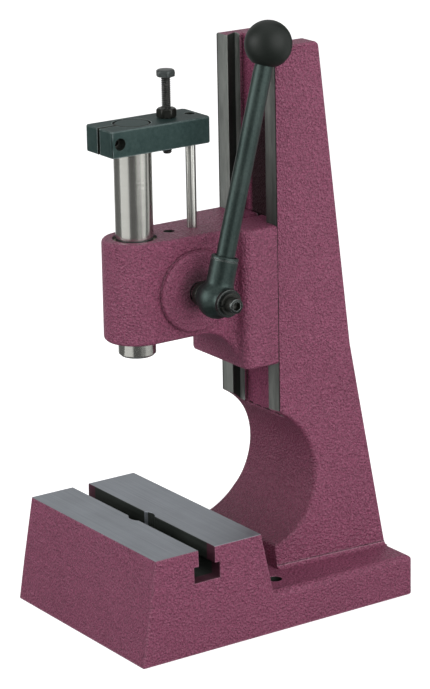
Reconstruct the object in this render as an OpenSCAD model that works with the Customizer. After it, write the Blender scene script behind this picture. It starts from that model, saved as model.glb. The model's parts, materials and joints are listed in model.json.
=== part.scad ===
// Hand lever press. A cast frame carries a slotted table and a dovetail column, a head slides and
// clamps on the column, and a lever drives a round ram through a pinion and a rack.
// Millimetres. The origin is the middle of the base on the floor, +X is the lever side, +Y the rear.

/* [Base] */
// Width of the base
base_w = 150; // [140:1:180]
// Depth of the base, front to rear, at the floor
base_d = 212.5; // [205:0.5:230]
// Height of the foot plate behind the table
foot_h = 27; // [23:0.5:32]
// Rounding of the foot's top edges
foot_edge_r = 5; // [2:0.5:8]
// Rounding of the foot's rear corners, seen from above
foot_corner_r = 4; // [3:0.5:10]
// Diameter of the two holes for the bench bolts
bolt_hole_d = 9; // [6:0.5:11]
// Distance between the bench bolts
bolt_spacing = 110; // [104:1:120]
// Distance of the bench bolts behind the table's rear face
bolt_back = 15; // [12:0.5:17]

/* [Table] */
// Height of the table's top
table_h = 68.5; // [62:0.5:72]
// Depth of the table's top, front to rear
table_d = 80; // [74:1:84]
// How far the table's front face runs out between top and floor
front_run = 11.5; // [6:0.5:14]
// How far the table's rear face runs out between top and foot
rear_run = 8.5; // [4:0.5:11]
// How far each side of the table leans in between foot and top
side_draft = 1; // [0:0.25:3]
// Width of the T-slot's neck
slot_neck_w = 12; // [10:0.5:14]
// Height of the T-slot's neck
slot_neck_h = 11; // [8:0.5:13]
// Width of the T-slot's head
slot_head_w = 19; // [17:0.5:23]
// Height of the T-slot's head
slot_head_h = 10; // [7:0.5:12]
// Diameter of the hole through the table under the ram
table_bore_d = 17; // [15:0.5:18]

/* [Column] */
// Width of the column
col_w = 64.5; // [62:0.5:70]
// Height of the column's top
col_h = 369; // [355:1:390]
// Depth of the column at its top
col_top_d = 34; // [30:0.5:40]
// Depth of the column at the foot
col_foot_d = 74; // [66:0.5:74]
// Rounding of the column's top rear edge
col_top_r = 4; // [2:0.5:12]
// Distance from the guide face to the base's rear edge
guide_set = 76; // [75:0.5:80]
// Height where the guide face starts
guide_z = 129; // [122:0.5:131]
// Angle at which the column's sides flare out below the crease
flare_angle = 6; // [3:0.5:8]
// Angle at which the crease rises to the rear
crease_angle = 32; // [22:1:40]
// Radius of the round throat
throat_r = 47; // [45:0.5:51]
// Height of the throat's centre
throat_z = 88; // [85:0.5:91]
// How far the column's heel stands in front of the guide face
heel = 10.5; // [6:0.5:14]
// Radius of the cove between column and foot
cove_r = 3; // [2:0.5:8]
// Width of the open channel cored into the column's back
core_w = 33; // [28:0.5:36]
// Wall left between the channel and the groove or the throat
core_wall = 10; // [8:0.5:12]
// Height of the channel's floor
core_z = 48; // [40:1:60]

/* [Dovetail] */
// Width of the dovetail groove at its mouth
groove_w = 40; // [36:0.5:43]
// Depth of the dovetail groove
groove_h = 9.5; // [7:0.5:10]
// Angle of the dovetail flanks from the guide face
groove_angle = 60; // [55:1:68]
// Width of each machined land on the groove's floor
land_w = 5.6; // [4:0.2:8]
// Depth of the cast relief between the lands
relief_h = 2; // [1:0.5:4]
// Sliding gap between the head and the column
slide_gap = 0.1; // [0.05:0.05:0.25]
// Room between the tongue and the groove's floor
floor_gap = 0.5; // [0.3:0.1:1]

/* [Head] */
// Height of the head's lower edge
head_z = 162; // [150:0.5:175]
// Height of the head's flange
head_h = 92; // [90:0.5:105]
// Depth of the flange in front of the guide face
flange_d = 25; // [22:0.5:28]
// Rounding of the flange's front edges
flange_r = 5; // [3:0.5:7]
// Width of the body around the ram
body_w = 42; // [41:0.5:46]
// Height of the body around the ram
body_h = 66; // [62:0.5:70]
// Radius of the sweep from the body's underside to the flange
belly_r = 25; // [15:0.5:26]
// Distance from the guide face to the ram's axis
reach = 87; // [84:0.5:92]
// Diameter of the bearing boss on the lever side
boss_d = 52.5; // [50:0.5:58]
// Diameter of the bearing boss on the far side, under the spring housing
far_boss_d = 56; // [55.5:0.5:58]
// How far the bearing bosses stand out of the body
boss_out = 4.5; // [3:0.5:6]
// Rounding of the bosses' rims
boss_edge_r = 2.5; // [1:0.5:3]
// Thickness of the lever side boss outside its bush
face_wall = 3; // [2.5:0.5:3.5]
// Distance from the head's top down to the pinion's axis
axis_drop = 35.5; // [34:0.5:37]
// Width of the clamping slit in the tongue
slit_w = 2; // [1.5:0.5:3]
// Depth of the clamping slit in front of the guide face
slit_h = 17; // [14:0.5:19]
// Diameter of the clamp screws that spread the slit
clamp_d = 8; // [6:1:10]
// Distance between the clamp screws
clamp_spacing = 52; // [44:1:60]
// Distance of the clamp screws in front of the guide face
clamp_in = 10; // [8:0.5:12]

/* [Ram] */
// Diameter of the ram
ram_d = 24; // [22:0.5:26]
// How far the ram stands out under the body at rest
ram_out = 10.5; // [6:0.5:14]
// Chamfer of the ram's lower end
ram_chamfer = 1.5; // [0.5:0.25:2.5]
// Working stroke of the ram
stroke = 50; // [40:1:52]
// Diameter of the tool bore in the ram's end
tool_d = 10; // [8:0.5:12]
// Depth of the tool bore
tool_h = 25; // [22:1:30]
// Diameter of the grub screw that holds the tool
grub_d = 6; // [4:1:6]
// Height of the grub screw above the ram's end
grub_up = 17; // [14:0.5:18]
// Wall of the ram's bushes
bush_wall = 2; // [1.5:0.25:3]
// Length of the ram's bushes
bush_h = 13; // [10:0.5:13.5]
// Depth of the upper bush below the head's top
bush_sunk = 1.5; // [1:0.5:2.5]
// Gap round the ram between its bushes
bore_gap = 0.5; // [0.3:0.1:1]

/* [Rack and pinion] */
// Module of the teeth
tooth_m = 1; // [0.95:0.05:1.05]
// Number of pinion teeth
tooth_n = 40; // [38:1:41]
// Width of the pinion
pinion_w = 24; // [20:1:26]
// Depth of the flat that the rack is cut in
rack_flat = 0.1; // [0.1:0.1:0.8]
// Gap on each tooth flank
flank_gap = 0.12; // [0.08:0.02:0.2]
// Gap between the pinion's tips and the head
tip_gap = 0.4; // [0.3:0.1:0.6]

/* [Shaft and return spring] */
// Diameter of the pinion shaft in its bushes
shaft_d = 16; // [15:0.5:17]
// Diameter of the shaft where it comes out of the boss
stem_d = 13; // [12.5:0.5:14]
// Diameter of the shaft's seat under the lever hub
seat_d = 12; // [11:0.5:12]
// Wall of the shaft's bushes
shaft_bush_wall = 2.5; // [2:0.25:3]
// Length of the right bush in the head's wall
wall_t = 6.5; // [6:0.5:7]
// Thickness of the spring housing's floor
housing_floor = 3; // [2:0.5:4]
// Width of the space for the spring
spring_room = 9; // [8:0.5:11]
// Thickness of the spring housing's rim
rim_t = 6.5; // [6:0.25:7]
// Thickness of the spring cover
cover_t = 3; // [2.5:0.5:4]
// Diameter of the shaft's end inside the spring
arbor_d = 14; // [12:0.5:14.5]
// Thickness of the spring strip
strip_t = 1; // [0.8:0.1:1.2]
// Width of the spring strip
strip_w = 6; // [5:0.5:7]
// Turns of the spring strip
strip_turns = 5; // [4:0.5:5.5]
// Diameter of the screws that hold the spring housing
cover_screw_d = 3; // [2.5:0.5:3]
// Number of screws that hold the spring housing
cover_screw_n = 3; // [3:1:6]

/* [Lever] */
// Length of the lever, pinion axis to ball centre
lever_len = 162; // [140:1:175]
// Lean of the lever to the rear at rest
lever_lean = 15; // [8:0.5:20]
// Distance of the lever's middle plane from the press's middle plane
lever_x = 45; // [44:0.5:52]
// Diameter of the lever rod
rod_d = 12; // [10:0.5:13]
// Diameter of the ball knob
ball_d = 30; // [26:0.5:32]
// Diameter of the hub's round eye
hub_d = 25; // [24.5:0.5:28]
// Diameter of the hub's seats beside the eye
hub_seat_d = 17; // [16:0.5:17]
// Width of the hub along the shaft
hub_w = 22; // [20:0.5:23]
// Diameter of the hub's neck
neck_d = 17.5; // [17:0.5:17.5]
// Height of the hub's neck above the pinion axis
neck_h = 27.5; // [25:0.5:34]
// Gap round the rod in the neck's open mouth
mouth_gap = 1.2; // [0.8:0.1:1.4]
// Depth of the neck's open mouth
mouth_h = 4; // [3:0.5:6]
// Diameter of the collar between hub and boss
collar_d = 17.5; // [17:0.5:19]
// Thickness of the collar between hub and boss
collar_t = 4; // [3:0.5:4]
// Width of the hub key
key_w = 4; // [3:0.5:4]
// Length of the hub key
key_len = 14; // [12:0.5:14.5]
// Diameter of the washer outside the hub
washer_d = 18; // [16:0.5:20]
// Thickness of the washer outside the hub
washer_t = 3; // [2:0.5:4]
// Diameter of the lock washer under the hub screw
lock_d = 14; // [12:0.5:15]
// Thickness of the lock washer
lock_t = 2; // [1.5:0.25:3]
// Diameter of the hub screw's thread
hub_screw_d = 6; // [5:1:6]

/* [Stop bar] */
// Width of the stop bar
bar_w = 30; // [28:0.5:34]
// Height of the stop bar
bar_h = 17; // [15:0.5:20]
// Height of the stop bar above the head at rest
bar_gap = 56.5; // [56:0.5:64]
// Length of the stop bar in front of the ram's axis
bar_front = 24.5; // [23.5:0.5:28]
// Length of the stop bar behind the guide post
bar_rear = 5.5; // [5:0.5:9]
// Chamfer of the stop bar's upright edges
bar_chamfer = 1; // [0.5:0.25:2]
// Width of the slot that splits the bar's front end
split_w = 1.6; // [1:0.2:2.4]
// Diameter of the bar's clamp screw
bar_screw_d = 4; // [3:0.5:4]
// Depth of the clamp screw's head in the bar
bar_screw_sunk = 5; // [3:0.5:6]
// Diameter of the guide post
post_d = 6.5; // [6:0.5:8]
// Distance from the ram's axis to the guide post
post_back = 43.5; // [42:0.5:46]
// Depth of the guide post in the head
post_in = 11; // [8:0.5:12]
// Distance from the stop bar's top down to the guide post's end
post_short = 5; // [2:0.5:8]
// Distance from the ram's axis to the stop screw
stop_back = 26; // [24:0.5:30]
// Diameter of the stop screw
stop_d = 6; // [5:1:6]
// How far the stop screw stands out below the bar
stop_out = 6; // [4:0.5:6]
// Height of the stop screw's head above the bar
stop_up = 26; // [20:0.5:30]
// Turn of the stop screw's head in degrees
stop_turn = -24; // [-30:1:30]
// Depth of the stop button below the head's top
button_sunk = 8.5; // [8:0.25:9]
// Length of the stop button
button_h = 3; // [2:0.25:3]
// Diameter of the stop button
button_d = 7; // [7:0.25:8]

/* [Screws] */
// Depth of sunk screws below their faces
screw_sunk = 1; // [0.5:0.25:1.5]
// Length of the spring housing's screws in the head
cover_bite = 5; // [4:0.5:6]
// Length of the hub screw in the shaft
hub_bite = 12; // [10:0.5:14]
// Room behind the end of a screw
screw_room = 1; // [0.5:0.25:2]

/* [Fits] */
// Radial running gap of the ram, the post and the shaft
run_gap = 0.05; // [0.03:0.01:0.08]
// Radial gap of pieces that are fixed in each other
fit_gap = 0.05; // [0.03:0.01:0.08]
// Gap between faces that pass each other
pass_gap = 0.3; // [0.2:0.05:0.4]

/* [Hidden] */
$fn = 96;

// Overlap of cutting tools past the face that they cut
over = 1;
// Step from the far boss in to the spring housing
housing_step = 0.5;
// How far the shaft's seat stays inside the hub, so that the washer clamps the hub
seat_short = 2;
// Width of the ball's flat round the rod
ball_lip = 1;
// Sizes of screws and nuts as parts of the thread's diameter
socket_ratio = 0.83;
set_socket_ratio = 0.5;
nut_ratio = 1;
hex_head_ratio = 0.75;
// Colours of the finishes
paint = "#8c4864";
oxide = "#3a4a4a";
bright = "#c4c6c0";
bronze = "#a8824a";
blued = "#2f3d3b";
black = "#1d2321";

// Places along the press, front to rear
front_y = -base_d / 2;
rear_y = base_d / 2;
table_front_y = front_y + front_run;
table_rear_y = table_front_y + table_d;
table_heel_y = table_rear_y + rear_run;
guide_y = rear_y - guide_set;
head_back_y = guide_y - slide_gap;
flange_y = head_back_y - flange_d;
ram_y = guide_y - reach;

// Rack and pinion
pressure_angle = 20;
pitch_r = tooth_m * tooth_n / 2;
tip_r = pitch_r + tooth_m;
root_r = pitch_r - 1.25 * tooth_m;
tooth_pitch = PI * tooth_m;
rack_tip = ram_d / 2 - rack_flat;
rack_pitch = rack_tip - tooth_m;
rack_root = rack_pitch - 1.25 * tooth_m;
pinion_y = ram_y + rack_pitch + pitch_r;
pinion_bore_r = tip_r + tip_gap;

// Heights
head_top = head_z + head_h;
body_z = head_top - body_h;
pinion_z = head_top - axis_drop;
bar_z = head_top + bar_gap;
bar_top = bar_z + bar_h;
ram_z = body_z - ram_out;
slot_z = table_h - slot_neck_h - slot_head_h;
clamp_mid_z = head_z + head_h / 2;

// Places across the press, along the pinion shaft
boss_x = body_w / 2 + boss_out;
bush_end_x = boss_x - face_wall;
wall_x = bush_end_x - wall_t;
shaft_bush_r = shaft_d / 2 + shaft_bush_wall;
shoulder_r = shaft_bush_r - fit_gap;
housing_r = far_boss_d / 2 - housing_step;
cup_x = boss_x + housing_floor + spring_room;
cup_r = housing_r - rim_t;
cover_x = cup_x + cover_t;
cover_screw_r = (pinion_bore_r + housing_r) / 2;
hub_in_x = lever_x - hub_w / 2;
hub_out_x = lever_x + hub_w / 2;
seat_x = hub_in_x - collar_t;
seat_end_x = hub_out_x - seat_short;
lock_x = hub_out_x + washer_t;
screw_x = lock_x + lock_t;

// Column lines
col_lean = (col_foot_d - col_top_d) / (col_h - foot_h);
throat_y = guide_y - sqrt(throat_r ^ 2 - (guide_z - throat_z) ^ 2);
flare = tan(flare_angle);
flange_step = (col_w - body_w) / 2;
groove_floor_w = groove_w + 2 * groove_h / tan(groove_angle);

// Bench bolts and T-slot follow the table and the ram
bolt_y = table_heel_y + bolt_back;

// Extrudes an outline drawn in (y, z) along X
module along_x(x0, x1) {
    translate([x0, 0, 0])
        rotate([90, 0, 90])
            linear_extrude(height = x1 - x0)
                children();
}

// Extrudes an outline drawn in (x, z) along Y
module along_y(y0, y1) {
    translate([0, y1, 0])
        rotate([90, 0, 0])
            linear_extrude(height = y1 - y0)
                children();
}

// Extrudes an outline drawn in (x, y) along Z
module along_z(z0, z1) {
    translate([0, 0, z0])
        linear_extrude(height = z1 - z0)
            children();
}

// Round bar along X about the pinion's axis
module shaft_x(r, x0, x1) {
    translate([x0, pinion_y, pinion_z])
        rotate([0, 90, 0])
            cylinder(r = r, h = x1 - x0);
}

// Round bar along Z
module post_z(r, y, z0, z1) {
    translate([0, y, z0])
        cylinder(r = r, h = z1 - z0);
}

// Tube along Z
module tube_z(r_out, r_in, y, z0, z1) {
    difference() {
        post_z(r_out, y, z0, z1);
        post_z(r_in, y, z0 - over, z1 + over);
    }
}

// Tube along X about the pinion's axis
module tube_x(r_out, r_in, x0, x1) {
    difference() {
        shaft_x(r_out, x0, x1);
        shaft_x(r_in, x0 - over, x1 + over);
    }
}

// Moves from the lever's upright frame to its place, leaning to the rear
module on_lever() {
    translate([0, pinion_y, pinion_z])
        rotate([-lever_lean, 0, 0])
            children();
}

// Fills the inner corner at the origin, between +X and +Y, with a concave arc
module cove(r) {
    difference() {
        translate([-over, -over])
            square(r + over);
        translate([r, r])
            circle(r);
    }
}

// Cuts the corner between a level top and a side that leans, leaving an arc about (cx, cy)
module round_corner(cx, cy, r, lean) {
    difference() {
        polygon([[cx, cy], [cx, cy + 2 * r], [cx + 3 * r, cy + 2 * r], [cx + 3 * r, cy + 3 * r * lean]]);
        translate([cx, cy])
            circle(r);
    }
}

// Rectangle on the X axis whose two upper corners are round
module round_top(w, h, r) {
    translate([-w / 2, 0])
        square([w, h - r]);
    translate([r - w / 2, 0])
        square([w - 2 * r, h]);
    for (side = [-1, 1])
        translate([side * (w / 2 - r), h - r])
            circle(r);
}

// Foot plate with round top edges and round rear corners
module foot_plate() {
    intersection() {
        along_y(table_heel_y - over, rear_y)
            round_top(base_w, foot_h, foot_edge_r);
        along_x(-base_w / 2, base_w / 2)
            difference() {
                translate([table_heel_y - over, 0])
                    square([rear_y - table_heel_y + over, foot_h]);
                round_corner(rear_y - foot_edge_r, foot_h - foot_edge_r, foot_edge_r, 0);
            }
        along_z(0, foot_h)
            translate([0, table_heel_y - over])
                round_top(base_w, rear_y - table_heel_y + over, foot_corner_r);
    }
}

// Table block with its sloped front and rear faces and drafted sides
module table_block() {
    top_w = base_w - 2 * side_draft;
    intersection() {
        along_x(-base_w / 2, base_w / 2)
            polygon([
                [front_y, 0], [table_front_y, table_h], [table_rear_y, table_h],
                [table_heel_y, foot_h], [table_heel_y, 0]
            ]);
        along_y(front_y, table_heel_y)
            polygon([
                [-base_w / 2, 0], [-base_w / 2, foot_h], [-top_w / 2, table_h],
                [top_w / 2, table_h], [base_w / 2, foot_h], [base_w / 2, 0]
            ]);
    }
}

// Side outline of the column, drawn in (y, z)
module column_outline() {
    back_y = guide_y + col_top_d;
    foot_back_y = guide_y + col_foot_d;
    arc_z = col_h - col_top_r;
    arc_y = back_y + col_lean * col_top_r - col_top_r * sqrt(1 + col_lean ^ 2);
    difference() {
        polygon([
            [guide_y - heel, foot_h], [guide_y - heel, guide_z], [guide_y, guide_z],
            [guide_y, col_h], [back_y, col_h], [foot_back_y, foot_h]
        ]);
        round_corner(arc_y, arc_z, col_top_r, col_lean);
    }
}

// Prism that gives the column its upright sides and, below the crease, its flared sides
module flare_prism() {
    crease_v = guide_z * cos(crease_angle) - guide_y * sin(crease_angle);
    reach_v = 2 * col_h;
    half_low = col_w / 2 + (crease_v + col_h) * flare / cos(crease_angle);
    rotate([90 + crease_angle, 0, 0])
        linear_extrude(height = 4 * col_h, center = true)
            polygon([
                [-half_low, -col_h], [-col_w / 2, crease_v], [-col_w / 2, reach_v],
                [col_w / 2, reach_v], [col_w / 2, crease_v], [half_low, -col_h]
            ]);
}

// Coves along the column's two sides on the foot
module foot_coves() {
    turn = atan(flare * tan(crease_angle));
    half_front = col_w / 2 + flare * (guide_z - foot_h - heel * tan(crease_angle));
    run = (col_foot_d + heel) / cos(turn);
    for (side = [0, 1])
        mirror([side, 0, 0])
            translate([half_front, guide_y - heel, foot_h])
                rotate([0, 0, -turn])
                    along_y(0, run)
                        cove(cove_r);
}

// Dovetail groove of the column with the relief between its lands, drawn in (x, y)
module groove_outline() {
    floor_y = guide_y + groove_h;
    polygon([
        [-groove_w / 2, guide_y], [-groove_floor_w / 2, floor_y], [groove_floor_w / 2, floor_y],
        [groove_w / 2, guide_y], [groove_w / 2, guide_y - over], [-groove_w / 2, guide_y - over]
    ]);
    translate([land_w - groove_floor_w / 2, floor_y - over])
        square([groove_floor_w - 2 * land_w, relief_h + over]);
}

// Open channel in the column's back, drawn in (y, z)
module core_outline() {
    top_y = guide_y + groove_h + relief_h + core_wall;
    low_y = throat_y + throat_r + core_wall;
    polygon([
        [top_y, col_h + over], [low_y, throat_z + throat_r / 2], [low_y, core_z],
        [rear_y, core_z], [rear_y, col_h + over]
    ]);
}

// Lower half of the frame's casting: table and foot, up to the foot's top
module frame_base() {
    color(paint)
        difference() {
            union() {
                table_block();
                foot_plate();
            }
            along_x(-base_w, base_w) {
                translate([ram_y - slot_neck_w / 2, slot_z])
                    square([slot_neck_w, table_h]);
                translate([ram_y - slot_head_w / 2, slot_z])
                    square([slot_head_w, slot_head_h]);
            }
            post_z(table_bore_d / 2, ram_y, -over, table_h + over);
            for (side = [-1, 1])
                translate([side * bolt_spacing / 2, bolt_y, -over])
                    cylinder(d = bolt_hole_d, h = foot_h + 2 * over);
        }
}

// Upper half of the frame's casting: the column from the foot's top upwards
module frame_column() {
    color(paint)
        difference() {
            intersection() {
                along_x(-base_w / 2, base_w / 2)
                    column_outline();
                union() {
                    flare_prism();
                    foot_coves();
                }
            }
            along_x(-base_w, base_w)
                translate([throat_y, throat_z])
                    circle(throat_r);
            along_z(guide_z - 2 * heel, col_h + over)
                groove_outline();
            along_x(-core_w / 2, core_w / 2)
                core_outline();
        }
}

// Plan of the head's body: round nose, straight sides and coves into the flange
module body_plan() {
    translate([0, ram_y])
        circle(d = body_w);
    translate([-body_w / 2, ram_y])
        square([body_w, flange_y - ram_y + over]);
    for (side = [0, 1])
        mirror([side, 0])
            translate([body_w / 2, flange_y])
                mirror([0, 1])
                    cove(flange_step - flange_r);
}

// Side outline of the head's body with the sweep down to the flange, drawn in (y, z)
module body_side() {
    translate([ram_y - body_w, body_z])
        square([flange_y - ram_y + body_w + over, body_h]);
    translate([flange_y, body_z])
        rotate(180)
            cove(belly_r);
}

// Flange of the head, round on its front edges
module head_flange() {
    along_z(head_z, head_top)
        translate([0, head_back_y])
            rotate(180)
                round_top(col_w, flange_d, flange_r);
}

// Dovetail tongue of the head, drawn in (x, y)
module tongue_outline() {
    root_half = groove_w / 2 - slide_gap / sin(groove_angle);
    tongue_h = groove_h - floor_gap;
    tip_half = root_half + tongue_h / tan(groove_angle);
    polygon([
        [-root_half, head_back_y - over], [-root_half, guide_y], [-tip_half, guide_y + tongue_h],
        [tip_half, guide_y + tongue_h], [root_half, guide_y], [root_half, head_back_y - over]
    ]);
}

// Round bearing boss about the pinion's axis, on the side that sign gives
module bearing_boss(sign, r) {
    translate([0, pinion_y, pinion_z])
        rotate([0, sign * 90, 0])
            rotate_extrude() {
                square([r, boss_x - boss_edge_r]);
                square([r - boss_edge_r, boss_x]);
                translate([r - boss_edge_r, boss_x - boss_edge_r])
                    circle(boss_edge_r);
            }
}

// Places children at each screw of the spring housing, looking along +X
module at_cover_screws() {
    for (i = [0:cover_screw_n - 1])
        translate([0, pinion_y, pinion_z])
            rotate([90 + i * 360 / cover_screw_n, 0, 0])
                translate([0, cover_screw_r, 0])
                    rotate([0, 90, 0])
                        children();
}

// Places children at each clamp screw, looking along +X
module at_clamp_screws() {
    for (side = [-1, 1])
        translate([0, guide_y - clamp_in, clamp_mid_z + side * clamp_spacing / 2])
            rotate([0, 90, 0])
                children();
}

module press_head() {
    bush_r = ram_d / 2 + bush_wall + fit_gap;
    color(paint)
        difference() {
            union() {
                head_flange();
                intersection() {
                    along_z(head_z, head_top)
                        body_plan();
                    along_x(-col_w / 2, col_w / 2)
                        body_side();
                }
                bearing_boss(1, boss_d / 2);
                bearing_boss(-1, far_boss_d / 2);
                along_z(head_z, head_top)
                    tongue_outline();
            }
            post_z(ram_d / 2 + bore_gap, ram_y, body_z - over, head_top + over);
            post_z(bush_r, ram_y, head_top - bush_sunk - bush_h, head_top + over);
            post_z(bush_r, ram_y, body_z - over, body_z + bush_h);
            shaft_x(pinion_bore_r, -boss_x - over, wall_x);
            shaft_x(shaft_bush_r + fit_gap, wall_x - over, bush_end_x);
            shaft_x(stem_d / 2 + pass_gap, bush_end_x - over, boss_x + over);
            along_z(head_z - over, head_top + over)
                translate([-slit_w / 2, guide_y - slit_h])
                    square([slit_w, slit_h + groove_h]);
            at_clamp_screws()
                translate([0, 0, -col_w])
                    cylinder(d = clamp_d + 2 * fit_gap, h = col_w);
            at_cover_screws()
                translate([0, 0, -boss_x - over])
                    cylinder(d = cover_screw_d + 2 * fit_gap, h = cover_bite + screw_room + over);
            post_z(post_d / 2 + fit_gap, ram_y + post_back, head_top - post_in, head_top + over);
            post_z(button_d / 2 + fit_gap, ram_y + stop_back, head_top - button_sunk - button_h,
                head_top + over);
        }
}

module upper_ram_bush() {
    top = head_top - bush_sunk;
    color(bronze)
        tube_z(ram_d / 2 + bush_wall, ram_d / 2 + run_gap, ram_y, top - bush_h, top);
}

module lower_ram_bush() {
    color(bronze)
        tube_z(ram_d / 2 + bush_wall, ram_d / 2 + run_gap, ram_y, body_z, body_z + bush_h);
}

module right_shaft_bush() {
    color(bronze)
        tube_x(shaft_bush_r, shaft_d / 2 + run_gap, wall_x, bush_end_x);
}

module left_shaft_bush() {
    color(bronze)
        tube_x(shaft_bush_r, shaft_d / 2 + run_gap, -boss_x - housing_floor, -wall_x);
}

module spring_housing() {
    color(paint)
        difference() {
            union() {
                shaft_x(pinion_bore_r - fit_gap, -boss_x - over, -wall_x);
                shaft_x(housing_r, -cup_x, -boss_x);
            }
            shaft_x(shaft_bush_r + fit_gap, -cup_x, -wall_x + over);
            shaft_x(cup_r, -cup_x - over, -boss_x - housing_floor);
            at_cover_screws()
                translate([0, 0, -cup_x - over])
                    cylinder(d = cover_screw_d + 2 * fit_gap, h = cup_x);
        }
}

// Flat spiral spring: the radius grows evenly with the angle from the arbor to the housing's rim
module return_spring() {
    r_in = arbor_d / 2 + pass_gap;
    r_out = cup_r - strip_t - fit_gap;
    step = 15;
    angles = [0:step:360 * strip_turns];
    grow = (r_out - r_in) / (360 * strip_turns);
    inner = [for (a = angles) (r_in + grow * a) * [cos(a), sin(a)]];
    outer = [for (a = angles) (r_in + strip_t + grow * a) * [cos(a), sin(a)]];
    count = len(outer);
    turned_back = [for (i = [1:count]) outer[count - i]];
    spring_x = boss_x + housing_floor + (spring_room - strip_w) / 2;
    color(bright)
        along_x(-spring_x - strip_w, -spring_x)
            translate([pinion_y, pinion_z])
                polygon(concat(inner, turned_back));
}

module spring_cover() {
    color(blued)
        difference() {
            shaft_x(housing_r, -cover_x, -cup_x);
            at_cover_screws()
                translate([0, 0, -cover_x - over])
                    cylinder(d = cover_screw_d + 2 * fit_gap, h = cover_t + 2 * over);
        }
}

// Diameter of a cap screw's head, and the width of a nut or hexagon head across its flats
function cap_head_d(d) = 1.5 * d + 1;
function hex_flats(d) = d + 5;

// Cap screw along +Z: its head lies below the origin, its shank above
module cap_screw(d, shank) {
    color(black)
        difference() {
            union() {
                translate([0, 0, -d])
                    cylinder(d = cap_head_d(d), h = d);
                cylinder(d = d, h = shank);
            }
            translate([0, 0, -d - over])
                cylinder(d = d * socket_ratio / cos(30), h = d / 2 + over, $fn = 6);
        }
}

// Set screw along +Z with a hexagon socket at its start
module set_screw(d, length) {
    color(black)
        difference() {
            cylinder(d = d, h = length);
            translate([0, 0, -over])
                cylinder(d = d * set_socket_ratio / cos(30), h = d / 2 + over, $fn = 6);
        }
}

module cover_screws() {
    at_cover_screws()
        translate([0, 0, -cover_x])
            cap_screw(cover_screw_d, cover_x - boss_x + cover_bite);
}

// Two screws from the far side of the flange that bear on the slit's other wall
module head_clamp_screws() {
    at_clamp_screws()
        translate([0, 0, screw_sunk - col_w / 2])
            set_screw(clamp_d, col_w / 2 - screw_sunk + slit_w / 2);
}

module guide_post() {
    color(bright)
        post_z(post_d / 2, ram_y + post_back, head_top - post_in, bar_top - post_short);
}

module stop_button() {
    top = head_top - button_sunk;
    color(blued)
        post_z(button_d / 2, ram_y + stop_back, top - button_h, top);
}

// Half of a tooth's angle at radius r, for involute flanks
function involute(a) = tan(a) * 180 / PI - a;
function half_tooth(r) =
    let (base_r = pitch_r * cos(pressure_angle))
    let (at_pitch = 90 / tooth_n - flank_gap / pitch_r * 180 / PI)
    at_pitch + involute(pressure_angle) - involute(acos(min(1, base_r / r)));

// Outline of the pinion with a tooth space facing the ram
module pinion_outline() {
    flank_steps = 4;
    base_r = pitch_r * cos(pressure_angle);
    radii = concat([root_r], [for (i = [0:flank_steps]) base_r + (tip_r - base_r) * i / flank_steps]);
    last = len(radii) - 1;
    polygon([
        for (t = [0:tooth_n - 1])
            let (mid = 180 + (t + 0.5) * 360 / tooth_n)
            for (k = [0:2 * last + 1])
                let (r = k <= last ? radii[k] : radii[2 * last + 1 - k])
                let (side = k <= last ? -1 : 1)
                let (a = mid + side * half_tooth(max(r, base_r)))
                r * [cos(a), sin(a)]
    ]);
}

// Key under the shaft's seat, or its keyway with room round it
module key_block(room) {
    on_lever()
        translate([lever_x - key_len / 2 - room, -key_w / 2 - room, -seat_d / 2 - key_w / 2 - room])
            cube([key_len + 2 * room, key_w + 2 * room, key_w + 2 * room]);
}

module pinion_shaft() {
    color(bright)
        difference() {
            union() {
                shaft_x(arbor_d / 2, -cup_x + screw_room, -boss_x - housing_floor);
                shaft_x(shaft_d / 2, -boss_x - housing_floor, -wall_x + pass_gap);
                shaft_x(shoulder_r, -wall_x + pass_gap, -pinion_w / 2);
                along_x(-pinion_w / 2, pinion_w / 2)
                    translate([pinion_y, pinion_z])
                        pinion_outline();
                shaft_x(shoulder_r, pinion_w / 2, wall_x - pass_gap);
                shaft_x(shaft_d / 2, wall_x - pass_gap, bush_end_x - pass_gap);
                shaft_x(stem_d / 2, bush_end_x - pass_gap, seat_x);
                shaft_x(seat_d / 2, seat_x, seat_end_x);
            }
            key_block(fit_gap);
            shaft_x(hub_screw_d / 2 + fit_gap, seat_end_x - hub_bite - screw_room, seat_end_x + over);
        }
}

module shaft_collar() {
    color(black)
        tube_x(collar_d / 2, seat_d / 2 + fit_gap, seat_x, hub_in_x);
}

module hub_key() {
    color(blued)
        key_block(0);
}

module lever_hub() {
    rod_foot = seat_d / 2 + key_w;
    mouth_z = neck_h - mouth_h;
    color(blued)
        difference() {
            on_lever()
                union() {
                    intersection() {
                        translate([lever_x, 0, 0])
                            sphere(d = hub_d);
                        translate([hub_in_x, -hub_d, -hub_d])
                            cube([hub_w, 2 * hub_d, 2 * hub_d]);
                    }
                    translate([hub_in_x, 0, 0])
                        rotate([0, 90, 0])
                            cylinder(d = hub_seat_d, h = hub_w);
                    translate([lever_x, 0, 0])
                        cylinder(d = neck_d, h = neck_h);
                }
            shaft_x(seat_d / 2 + fit_gap, hub_in_x - over, hub_out_x + over);
            key_block(fit_gap);
            on_lever()
                translate([lever_x, 0, rod_foot])
                    cylinder(r = rod_d / 2 + fit_gap, h = neck_h);
            on_lever()
                translate([lever_x, 0, mouth_z])
                    cylinder(r1 = rod_d / 2 + fit_gap, r2 = rod_d / 2 + mouth_gap, h = mouth_h / 2);
            on_lever()
                translate([lever_x, 0, mouth_z + mouth_h / 2])
                    cylinder(r = rod_d / 2 + mouth_gap, h = mouth_h);
        }
}

module hub_washer() {
    color(blued)
        tube_x(washer_d / 2, hub_screw_d / 2 + pass_gap, hub_out_x, lock_x);
}

module lock_washer() {
    color(black)
        tube_x(lock_d / 2, hub_screw_d / 2 + pass_gap, lock_x, screw_x);
}

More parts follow.
